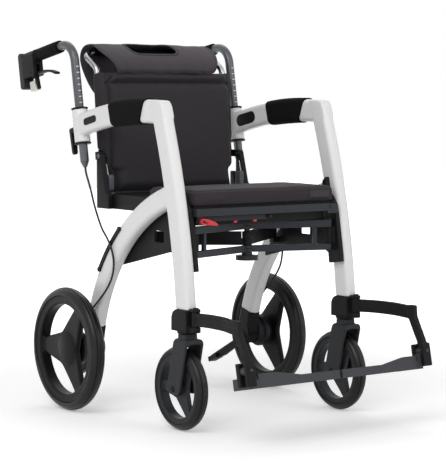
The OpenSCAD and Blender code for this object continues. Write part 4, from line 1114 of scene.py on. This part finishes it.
@dataclass
class BackrestFlap:
    """Cloth loop sewn to the pad's top, laid over the hoop, with a bound hand slot and stitched hems."""

    half: float = 0.188
    slot_x: tuple[float, float] = (-0.097, 0.040)
    slot_y: tuple[float, float] = (0.200, 0.262)
    slot_r: float = 0.022
    thick: float = 0.0022
    hem: float = 0.011
    route_mm: tuple[tuple[float, float], ...] = (
        (177, 835.5), (171.5, 845), (173.5, 858), (182, 869), (195, 879.5), (213, 890), (236, 900), (260, 906),
        (282, 905), (300, 897), (310, 884), (312, 868), (305, 849), (292, 828), (277, 810), (258, 793), (241, 780),
        (230, 766), (225.7, 750),
    )
    columns: int = 150

    def build(self) -> None:
        """Cuts, hems and hangs the cloth."""
        path = even_points(smooth_path([Vector((0.0, y * MM, z * MM)) for y, z in self.route_mm], 8), 0.0025)
        rows = len(path) - 1
        step = sum((b - a).length for a, b in zip(path, path[1:])) / rows
        self._path, self._step, self._rows = path, step, rows
        top = range(math.ceil(rows * 0.7))
        near = min(top, key=lambda i: abs(path[i].y - self.slot_y[0])) * step
        far = min(top, key=lambda i: abs(path[i].y - self.slot_y[1])) * step
        self._slot = (sum(self.slot_x) / 2, (near + far) / 2, (self.slot_x[1] - self.slot_x[0]) / 2, (far - near) / 2)
        width = 2 * self.half / self.columns
        flat = [[-self.half + width * j, step * i] for i in range(rows + 1) for j in range(self.columns + 1)]
        faces = []
        for cell in grid_cells(rows, self.columns):
            mid = [sum(flat[k][c] for k in cell) / 4 for c in (0, 1)]
            if self._slot_distance(*mid) > 0:
                faces.append(cell)
        used = {k for f in faces for k in f}
        for k in used:
            gap = self._slot_distance(*flat[k])
            if abs(gap) < 0.75 * max(step, width):
                flat[k] = list(self._on_slot(*flat[k]))
        order = {k: n for n, k in enumerate(sorted(used))}
        points = [self._hang(*flat[k]) for k in sorted(used)]
        # The flap's weave is painted paler than the seat's, as painted light.
        sheet = mesh_object("backrest_flap_cloth", points, [tuple(order[k] for k in f) for f in faces], LIT_FLAP_CLOTH)
        modify(sheet, "SOLIDIFY", thickness=self.thick, offset=0.0)
        apply_modifiers(sheet)
        shade_smooth(sheet.data)
        trims = [self._binding(), self._hems()]
        seat_piece(sheet, "backrest", ["backrest_flap"])
        for trim in trims:
            seat_piece(trim, "backrest")
        LOG.info("flap is cut to %.3f by %.3f m", 2 * self.half, step * rows)

    def _slot_distance(self, x: float, s: float) -> float:
        """Distance of a spot on the flat cloth outside the hand slot, negative inside it."""
        cx, cs, a, b = self._slot
        dx, ds = abs(x - cx) - a + self.slot_r, abs(s - cs) - b + self.slot_r
        return math.hypot(max(dx, 0.0), max(ds, 0.0)) + min(max(dx, ds), 0.0) - self.slot_r

    def _on_slot(self, x: float, s: float) -> tuple[float, float]:
        """Nearest spot of the slot's edge."""
        for _ in range(3):
            gap = self._slot_distance(x, s)
            e = 1e-5
            gx = (self._slot_distance(x + e, s) - gap) / e
            gs = (self._slot_distance(x, s + e) - gap) / e
            x, s = x - gap * gx, s - gap * gs
        return x, s

    def _hang(self, x: float, s: float, lift: float = 0.0) -> Vector:
        """Puts a spot of the flat cloth on the hung loop.

        Args:
            x: Across the cloth.
            s: Along the cloth from its front hem.
            lift: Extra distance out of the cloth.

        Returns:
            The point in the frame.
        """
        t = limited(s / self._step, 0.0, self._rows - 1e-6)
        i = int(t)
        a, b = self._path[i], self._path[i + 1]
        spot = a.lerp(b, t - i)
        before, after = self._path[max(i - 2, 0)], self._path[min(i + 3, self._rows)]
        along = (after - before).normalized()
        normal = Vector((0.0, -along.z, along.y))
        share = s / (self._step * self._rows)
        ends = min(s, 0.05) / 0.05
        wave = 0.0026 * ends * noise.noise(Vector((x * 11, s * 7 + x * 4, 0.3)))
        wave += 0.0012 * ends * noise.noise(Vector((x * 26 - s * 9, s * 20, 1.7)))
        wave += 0.0014 * bell(s, 0.02) * math.sin(x * 95 + 2 * noise.noise(Vector((x * 12, 0, 0))))
        pull = 0.0035 * bell(abs(x) - self.half, 0.03) * math.sin(math.pi * min(share * 2.2, 1.0))
        hemmed = 0.0004 if self.half - abs(x) < self.hem or s < self.hem else 0.0
        return Vector((self._cut(x, s), spot.y, spot.z)) + normal * (wave - pull + hemmed + lift)

    def _cut(self, x: float, s: float) -> float:
        """Draws the ends of the loop in towards its front hem, the far one more, as it was cut and has slipped."""
        front = max(0.0, 1 - s / 0.085)
        near = 0.026 * front**1.5 * max(0.0, (-x - 0.105) / (self.half - 0.105))
        slip = 0.024 * max(0.0, 1 - max(0.0, s - 0.12) / 0.12) + 0.030 * front
        far = slip * max(0.0, (x - 0.055) / (self.half - 0.055))
        return x + near - far

    def _binding(self) -> bpy.types.Object:
        """Folds tape round the slot's edge."""
        cx, cs, a, b = self._slot
        loop = rounded_loop(a, b, self.slot_r, 8, 24)
        rings = []
        for k, (da, ds) in enumerate(loop):
            na, ns = loop[(k + 1) % len(loop)][0] - loop[k - 1][0], loop[(k + 1) % len(loop)][1] - loop[k - 1][1]
            size = math.hypot(na, ns)
            out = (ns / size, -na / size)
            ring = []
            for along, lift in ((0.0075, 0.0013), (0.004, 0.0019), (0.0005, 0.0019), (-0.0014, 0.0), (0.0005, -0.0019),
                                (0.004, -0.0019), (0.0075, -0.0013), (0.0072, 0.0)):
                x, s = cx + da + out[0] * along, cs + ds + out[1] * along
                ring.append(self._hang(x, s, lift))
            rings.append(ring)
        return loft("flap_slot_binding", rings + [rings[0]], BINDING, closed_ends=False)

    def _hems(self) -> bpy.types.Object:
        """Sews the hems: two rows along each end, one along the front hem and one round the slot."""
        length = self._step * self._rows
        lift = self.thick / 2 + 0.0006
        lines = []
        for sign in (-1, 1):
            for inset in (0.004, self.hem):
                x = sign * (self.half - inset)
                lines.append([self._hang(x, length * k / 90, lift) for k in range(91)])
        lines.append([self._hang(self.half * (2 * k / 80 - 1), 0.006, lift) for k in range(81)])
        cx, cs, a, b = self._slot
        loop = rounded_loop(a + 0.006, b + 0.006, self.slot_r + 0.006, 8, 20)
        lines.append([self._hang(cx + da, cs + ds, 0.0022) for da, ds in loop + loop[:1]])
        return stitches("flap_stitches", lines, 0.0045, THREAD)


class Stretch(Enum):
    """Part of a foam sleeve along its arm."""

    FRONT = "front roll"
    MIDDLE = "between the rolls"
    REAR = "rear roll"


@dataclass
class ArmrestPad:
    """Foam sleeve round one armrest, with rolled ends that slant with the arm."""

    arc_y: float = -0.073
    arc_z: float = -0.4295
    arc_r: float = 1.170
    deep: float = 0.0315
    wide: float = 0.0195
    corner: float = 0.0145
    plane_x: float = 0.2395
    wall: float = 0.0034
    lip: float = 0.0045
    crown: float = 0.0006

    def build(self) -> None:
        """Rolls a sleeve on each arm."""
        for side in Side:
            sleeve = loft(f"{side.tag}_armrest_foam", self._rings(side), EVA_FOAM, closed_ends=False)
            seat_piece(sleeve, "frame", ["armrest_pads"] if side is Side.RIGHT else [])

    def _rings(self, side: Side) -> list[list[Vector]]:
        """Loops of the sleeve from inside its front end to inside its rear end."""
        loop = rounded_loop(self.deep, self.wide, self.corner, 10, 12)
        rolls = [(0.0, 1.0), (0.0, 0.75), (0.0, 0.45), (0.0006, 0.2), (0.002, 0.05), (self.lip, 0.0)]
        count = 40
        rings = []
        plan = [(t, sunk, Stretch.FRONT) for t, sunk in rolls]
        plan += [(k / count, 0.0, Stretch.MIDDLE) for k in range(1, count)]
        plan += [(t, sunk, Stretch.REAR) for t, sunk in reversed(rolls)]
        for t, sunk, stretch in plan:
            ring = []
            swollen = self.crown * math.sin(math.pi * t) if stretch is Stretch.MIDDLE else 0.0
            shrink = self.wall * sunk - swollen
            for v, w in loop:
                front, rear = -0.074 - 0.32 * v, 0.066 + 0.145 * (v + 0.005)
                y = {
                    Stretch.FRONT: front + t,
                    Stretch.MIDDLE: front + self.lip + (rear - front - 2 * self.lip) * t,
                    Stretch.REAR: rear - t,
                }[stretch]
                dv = v - shrink * (v / self.deep)
                dw = w - shrink * (w / self.wide)
                turn = math.acos((y - self.arc_y) / self.arc_r)
                r = self.arc_r + dv
                y, z = self.arc_y + r * math.cos(turn), self.arc_z + r * math.sin(turn)
                ring.append(side.point(self.plane_x + dw, y, z))
            rings.append(ring)
        return rings


@dataclass
class Handle:
    """Grip and height scale of one push handle."""

    side: Side
    tube_r: float = 0.011

    def place(self, x: float, back: float, up: float) -> Vector:
        """Turns measures outward, back along the grip and up the post to a point."""
        return self.side.point(*leaning_point(HANDLE_CORNER, HANDLE_LEAN, x, back, up))

    def build(self) -> None:
        """Makes the grip and prints the scale."""
        body = f"{self.side.tag}_handle"
        grip = self._grip()
        seat_piece(grip, body, [f"{self.side.tag}_grip"])
        seat_piece(self._scale(), body)

    def _grip(self) -> bpy.types.Object:
        """Moulds the grip: a flange, a palm swell and shallow rings at both ends."""
        start, end, count = 0.062, 0.1797, 96
        rings = []
        bore = 0.0113
        outline = [(0.0, bore), (0.0, 0.0135), (0.0006, 0.0148), (0.002, 0.0158)]
        for k in range(count + 1):
            t = k / count
            swell_r = 0.0150 + 0.0011 * math.sin(math.pi * t) + 0.0004 * math.cos(2 * math.pi * t)
            ringed = 0.0007 * max(0.0, math.cos(2 * math.pi * t * 22)) if t < 0.2 or t > 0.8 else 0.0
            outline.append((0.0035 + t * (end - start - 0.0055), min(swell_r + 0.0004 - ringed, 0.0164)))
        outline += [(end - start - 0.0008, 0.0150), (end - start, 0.0140), (end - start, bore)]
        for along, r in outline:
            rings.append([
                self.place(r * math.cos(turn), start + along, r * math.sin(turn)) for turn in full_turn(40)
            ])
        return loft(f"{self.side.tag}_grip_rubber", rings, GRIP_RUBBER, closed_ends=False)

    def _scale(self) -> bpy.types.Object:
        """Prints seven short marks on the front of the post."""
        points: list[Vector] = []
        faces: list[tuple[int, ...]] = []
        ink, sunk, half, steps = 0.000005, 0.0003, 0.0013, 24
        section = ((-sunk, -half), (-sunk, half), (ink, half), (ink, -half))
        for k in range(7):
            up = -0.156 + 0.0152 * k
            faces += skin(steps + 1, len(section), len(points))
            for j in range(steps + 1):
                turn = math.radians(-108 + 42 * j / steps)
                for lift, h in section:
                    r = self.tube_r + lift
                    points.append(self.place(r * math.cos(turn), r * math.sin(turn), up + h))
        return mesh_object(f"{self.side.tag}_height_scale", points, faces, SCALE_INK)


def soften(piece: bpy.types.Object, width: float, segments: int = 2) -> bpy.types.Object:
    """Rounds the sharp edges of a small moulding.

    Args:
        piece: Mesh object.
        width: Width of the round in metres.
        segments: Steps of the round.

    Returns:
        The piece.
    """
    modify(piece, "BEVEL", width=width, segments=segments, limit_method="ANGLE", angle_limit=math.radians(30),
           harden_normals=True)
    apply_modifiers(piece)
    return piece


def rounded_bar(
    name: str, start: Vector, end: Vector, half: tuple[float, float], radius: float, finish: Finish
) -> bpy.types.Object:
    """Makes a straight bar with a rounded section and eased ends.

    Args:
        name: Name of the piece.
        start: Middle of one end.
        end: Middle of the other end.
        half: Half its width and half its height.
        radius: Corner radius of the section.
        finish: Its material.

    Returns:
        The bar.
    """
    along = (end - start).normalized()
    wide = along.cross(Vector((0, 0, 1)) if abs(along.z) < 0.9 else Vector((0, 1, 0))).normalized()
    high = wide.cross(along)
    length = (end - start).length
    ease = min(radius, 0.0016, length / 3)
    plan = [(0.0, 0.7 * ease), (0.1 * ease, 0.35 * ease), (0.4 * ease, 0.08 * ease), (ease, 0.0)]
    rings = []
    for t, inset in plan + [(length - t, inset) for t, inset in reversed(plan)]:
        loop = rounded_loop(half[0] - inset, half[1] - inset, max(radius - inset, 0.0002), 6, 4)
        rings.append([start + along * t + wide * a + high * b for a, b in loop])
    return loft(name, rings, finish)


@dataclass
class BackrestTube:
    """Bright tube bent to a hoop behind the pad, with black clamps and lugs at its pivots."""

    half: float = 0.193
    radius: float = 0.0078
    face: Point = (0.0, 0.190, 0.541)
    lean: float = BACK_LEAN
    back: float = 0.0082
    low_up: float = 0.074
    bend_up: float = 0.306
    bend: float = 54.0
    bend_r: float = 0.024
    run: float = 0.046
    corner: float = 0.035
    pivot: tuple[float, float] = (0.174, 0.627)

    def place(self, x: float, back: float, up: float) -> Vector:
        """Turns measures from the pad's back to a point."""
        return leaning_point(self.face, self.lean, x, back, up)

    def hoop(self, x: float, run: float) -> Vector:
        """Gives a point of the bent-back hoop, a run away from the bend."""
        turn = math.radians(self.bend)
        return self.place(x, self.back + run * math.sin(turn), self.bend_up + run * math.cos(turn))

    def build(self) -> None:
        """Bends the tube, clamps it and sleeves its cross bar."""
        short = self.bend_r * math.tan(math.radians(self.bend / 2))
        arm = [self.place(self.half, self.back, up) for up in (self.low_up, 0.16, self.bend_up - short)]
        for k in range(1, 9):
            turn = math.radians(self.bend * k / 8)
            arm.append(self.place(self.half, self.back + self.bend_r * (1 - math.cos(turn)),
                                  self.bend_up - short + self.bend_r * math.sin(turn)))
        for k in range(11):
            turn = math.pi / 2 * k / 10
            x = self.half - self.corner + self.corner * math.cos(turn)
            arm.append(self.hoop(x, self.run + self.corner * math.sin(turn)))
        path = arm + [Vector((-p.x, p.y, p.z)) for p in reversed(arm)]
        tube = tube_mesh("backrest_tube_bent", path, self.radius, 28, SILVER_TUBE)
        seat_piece(tube, "backrest", ["backrest_frame"])
        run = self.run + self.corner
        sleeve = rounded_bar("hoop_sleeve", self.hoop(-0.160, run), self.hoop(0.160, run), (0.0094, 0.0094), 0.0093,
                             EVA_FOAM)
        seat_piece(sleeve, "backrest")
        for side in Side:
            self._pivot(side)

    def _pivot(self, side: Side) -> None:
        """Moulds the clamp on the tube and the lug that turns on the pin.

        Args:
            side: Side of the pivot.
        """
        y, z = self.pivot
        low, top = side.point(0.1955, 0.2058, 0.6175), side.point(0.1955, 0.2078, 0.6370)
        clamp = rounded_bar(f"{side.tag}_tube_clamp", low, top, (0.0115, 0.0098), 0.006, BLACK_NYLON)
        seat_piece(clamp, "backrest")
        eye_r, rear = 0.009, 0.2085
        turns = [math.pi * (1 + k / 12) for k in range(13)]
        outline = [(y + eye_r * math.sin(turn), z + eye_r * math.cos(turn)) for turn in turns]
        outline += [(rear, z + eye_r), (rear, z - eye_r)]
        rings = [[side.point(x, a, b) for a, b in outline] for x in (0.2034, 0.2077)]
        lug = soften(loft(f"{side.tag}_pivot_lug", rings, BLACK_NYLON), 0.0008)
        seat_piece(lug, "backrest")


@dataclass
class SeatUnderbar:
    """Catch bar under the front of the seat, with its boss and two red tabs, and the rear ends of the box's skirts."""

    top: float = 0.4978
    low: float = 0.4845
    beam_low: float = 0.4752
    front: float = -0.226

    def build(self) -> None:
        """Makes the bar, the boss, the tabs and the skirts."""
        z, half_z = (self.top + self.low) / 2, (self.top - self.low) / 2
        y = self.front + 0.008
        deep = (self.top - self.beam_low) / 2
        beam_y, beam_z, tab_y = y + 0.021, self.top - deep, y - 0.003
        rows = [
            ("catch_bar", (-0.190, y, z), (0.006, y, z), (0.008, half_z), 0.002, GREY_ABS, "grey_plastic"),
            ("catch_boss", (0.008, self.front - 0.004, z), (0.008, self.front + 0.016, z), (0.0076, 0.0076), 0.0075,
             BLACK_NYLON, "black_plastic"),
            ("catch_boss_pin", (0.008, self.front - 0.0052, z), (0.008, self.front, z), (0.0034, 0.0034), 0.0033,
             BLACK_STEEL, "steel"),
            ("catch_beam", (-0.192, beam_y, beam_z), (0.192, beam_y, beam_z), (0.007, deep), 0.002, BLACK_NYLON,
             "black_plastic"),
        ]
        for k, x in enumerate((-0.090, -0.033)):
            rows.append((f"catch_tab_{k + 1}", (x, tab_y, self.low + 0.001), (x, tab_y, self.low - 0.005),
                         (0.0045, 0.003), 0.001, RED_ABS, "red_plastic"))
        for side in Side:
            x = side.value * 0.2013
            rows.append((f"{side.tag}_box_skirt", (x, 0.121, 0.5074), (x, 0.1762, 0.5074), (0.006, 0.0094), 0.003,
                         BLACK_NYLON, "black_plastic"))
        for name, start, end, half, radius, finish, slot in rows:
            seat_piece(rounded_bar(name, Vector(start), Vector(end), half, radius, finish), "frame")


@dataclass
class LatchPlate:
    """Moulded slide of one back latch, with a finger nose in front of its post."""

    side: Side
    inner: float = 0.1941
    outer: float = 0.2071
    nose_y: tuple[float, float] = (0.145, 0.166)
    body_y: tuple[float, float] = (0.158, 0.190)
    span_z: tuple[float, float] = (0.5396, 0.5816)

    def build(self) -> None:
        """Moulds the grey nose and the black slide behind it in place of the node."""
        body = f"{self.side.tag}_back_latch"
        nose = self._block("nose", self.nose_y, 0.0, 0.007, LIGHT_ABS)
        seat_piece(nose, body, [body])
        seat_piece(self._block("slide", self.body_y, 0.0014, 0.003, BLACK_NYLON), body)

    def _block(
        self, name: str, span: tuple[float, float], inset: float, radius: float, finish: Finish
    ) -> bpy.types.Object:
        """Makes one rounded block of the latch.

        Args:
            name: What the block is.
            span: Its front and rear.
            inset: How much smaller it is than the latch.
            radius: Corner radius of its side view.
            finish: Its material.

        Returns:
            The block.
        """
        y, z = sum(span) / 2, sum(self.span_z) / 2
        half = ((span[1] - span[0]) / 2, (self.span_z[1] - self.span_z[0]) / 2 - inset)
        start, end = self.side.point(self.inner + inset, y, z), self.side.point(self.outer - inset, y, z)
        return rounded_bar(f"{self.side.tag}_latch_{name}", start, end, half, radius, finish)


@dataclass
class FootplateGusset:
    """Wedge wall that stiffens the front edge of one footplate from its hinge inward."""

    side: Side
    hinge: Point = (0.258, -0.490, 0.176)
    tilt: float = 12.0
    start: float = 0.0265
    knee: float = 0.070
    end: float = 0.142
    top: float = -0.0090
    plate_top: float = -0.021
    wall: float = 0.005

    def place(self, inward: float, back: float, up: float) -> Vector:
        """Turns measures from the plate's hinge to a point."""
        return self.side.point(*leaning_point(self.hinge, self.tilt, -inward, back, up))

    def build(self) -> None:
        """Lofts the wedge along the slanted front edge."""
        rings = []
        for k in range(13):
            inward = self.start + (self.end - self.start) * k / 12
            drop = max(0.0, (inward - self.knee) / (self.end - self.knee))
            top = self.top + (self.plate_top - 0.0005 - self.top) * drop
            front = -0.0061 - 0.013 * (inward - 0.014) / 0.142
            foot = self.plate_top - 0.0035
            section = ((0.0, foot), (0.0, top), (self.wall, top), (self.wall, foot))
            rings.append([self.place(inward, front + d, up) for d, up in section])
        # The gusset gets the footplate's ABS, painted paler as painted light.
        gusset = loft(f"{self.side.tag}_footplate_gusset", rings, LIT_SLATE_ABS)
        seat_piece(soften(gusset, 0.0008), f"{self.side.tag}_footplate")


@dataclass
class LatchRod:
    """Thin pull rod that rises from one back latch beside its post."""

    side: Side
    radius: float = 0.0013
    route: tuple[Point, ...] = ((0.2050, 0.1535, 0.5790), (0.2050, 0.1570, 0.5870), (0.2050, 0.1632, 0.6085))

    def build(self) -> None:
        """Draws the rod."""
        path = smooth_path([self.side.point(*spot) for spot in self.route], 6)
        rod = tube_mesh(f"{self.side.tag}_latch_rod", path, self.radius, 12, ZINC_STEEL)
        seat_piece(rod, f"{self.side.tag}_back_latch")


@dataclass
class Finishes:
    """Which finish each node that stays as CAD gets."""

    plain: dict[str, Finish] = field(default_factory=lambda: {
        "arm_inserts": BLACK_NYLON, "socket_collars": BLACK_NYLON, "cable_guides": BLACK_NYLON,
        "axle_housings": BLACK_NYLON, "brake_plates": GREY_ABS, "rear_axles": ZINC_STEEL, "kerb_pedals": BLACK_NYLON,
        "hinge_pins": BLACK_STEEL, "front_gates": DARK_BARS, "rear_gates": BLACK_NYLON, "fold_post": GREY_ABS,
        "seat_frame": DARK_BARS, "seat_hinge": DARK_BARS, "release_lever": RED_ABS, "seat_base": BLACK_NYLON,
        "back_pivot_pins": ZINC_STEEL,
    })
    paired: dict[str, Finish] = field(default_factory=lambda: {
        # The handle tubes carry the painted highlight streak of their finish.
        "handle_tube": DARK_TUBE, "brake_lock": CREAM_ACETAL, "clamp_lever": BLACK_NYLON, "front_axle": BLACK_STEEL,
        # The footplates get the ABS painted paler, as painted light.
        "footplate": LIT_SLATE_ABS,
    })
    edge_mm: float = 0.8

    def dress(self) -> None:
        """Gives these nodes their finish and a small round on their edges."""
        for side in Side:
            for name, finish in self.paired.items():
                self._dress_node(f"{side.tag}_{name}", finish)
        for name, finish in self.plain.items():
            self._dress_node(name, finish)

    def _dress_node(self, name: str, finish: Finish) -> None:
        """Dresses one node.

        Args:
            name: CAD node.
            finish: Its finish.
        """
        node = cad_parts[name]
        node.data.materials.clear()
        node.data.materials.append(finish.material())
        modify(node, "WELD", merge_threshold=WELD_M)
        modify(node, "BEVEL", width=self.edge_mm * MM, segments=2, limit_method="ANGLE", angle_limit=math.radians(35),
               harden_normals=False)


def main() -> None:
    """Builds the studio and every piece in order."""
    logging.basicConfig(level=logging.INFO, format="%(name)s: %(message)s")
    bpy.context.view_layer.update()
    Studio().build()
    for side in Side:
        BrakeCable(side).build()
    Finishes().dress()
    for side in Side:
        tag = side.tag
        Casting(f"{tag}_side_frame", "frame", "frame_white", WHITE_COAT, 2.0, 10, open_socket).build()
        Casting(f"{tag}_rear_rim", f"{tag}_rear_wheel", "black_plastic", GLOSS_NYLON, 1.6, 45).build()
        Casting(f"{tag}_front_rim", f"{tag}_front_wheel", "grey_plastic", GREY_ABS, 1.3, 6).build()
        Casting(f"{tag}_caster_fork", f"{tag}_caster", "grey_plastic", GREY_ABS, 1.3, 6).build()
        Casting(f"{tag}_grip_cap", f"{tag}_handle", "grey_plastic", GREY_ABS, 1.3, 8).build()
        Casting(f"{tag}_brake_housing", f"{tag}_handle", "black_plastic", BLACK_NYLON, 1.2, 6).build()
        Casting(f"{tag}_brake_lever", f"{tag}_brake_lever", "black_plastic", BLACK_NYLON, 1.0, 5).build()
        Tyre(side, "rear", 0.305, 0.039, 0.019, (0.3105, 0.176, 0.1525)).build()
        Tyre(side, "front", 0.196, 0.033, 0.014, (0.237, -0.209, 0.098)).build()
        Handle(side).build()
        Casting(f"{tag}_footrest_arm", f"{tag}_footrest", "black_plastic", BLACK_NYLON, 1.3, 6, lean_drop).build()
        FootplateGusset(side).build()
        LatchPlate(side).build()
        LatchRod(side).build()
    Casting("back_posts", "frame", "black_plastic", BLACK_NYLON, 1.4, 6).build()
    Casting("leg_blocks", "frame", "black_plastic", BLACK_NYLON, 1.4, 8).build()
    Casting("side_plates", "frame", "black_plastic", BLACK_NYLON, 1.5, 5, trim_strip).build()
    SeatUnderbar().build()
    BackrestTube().build()
    ArmrestPad().build()
    SeatCushion().build()
    BackrestPad().build()
    BackrestFlap().build()


if __name__ == "__main__":
    main()
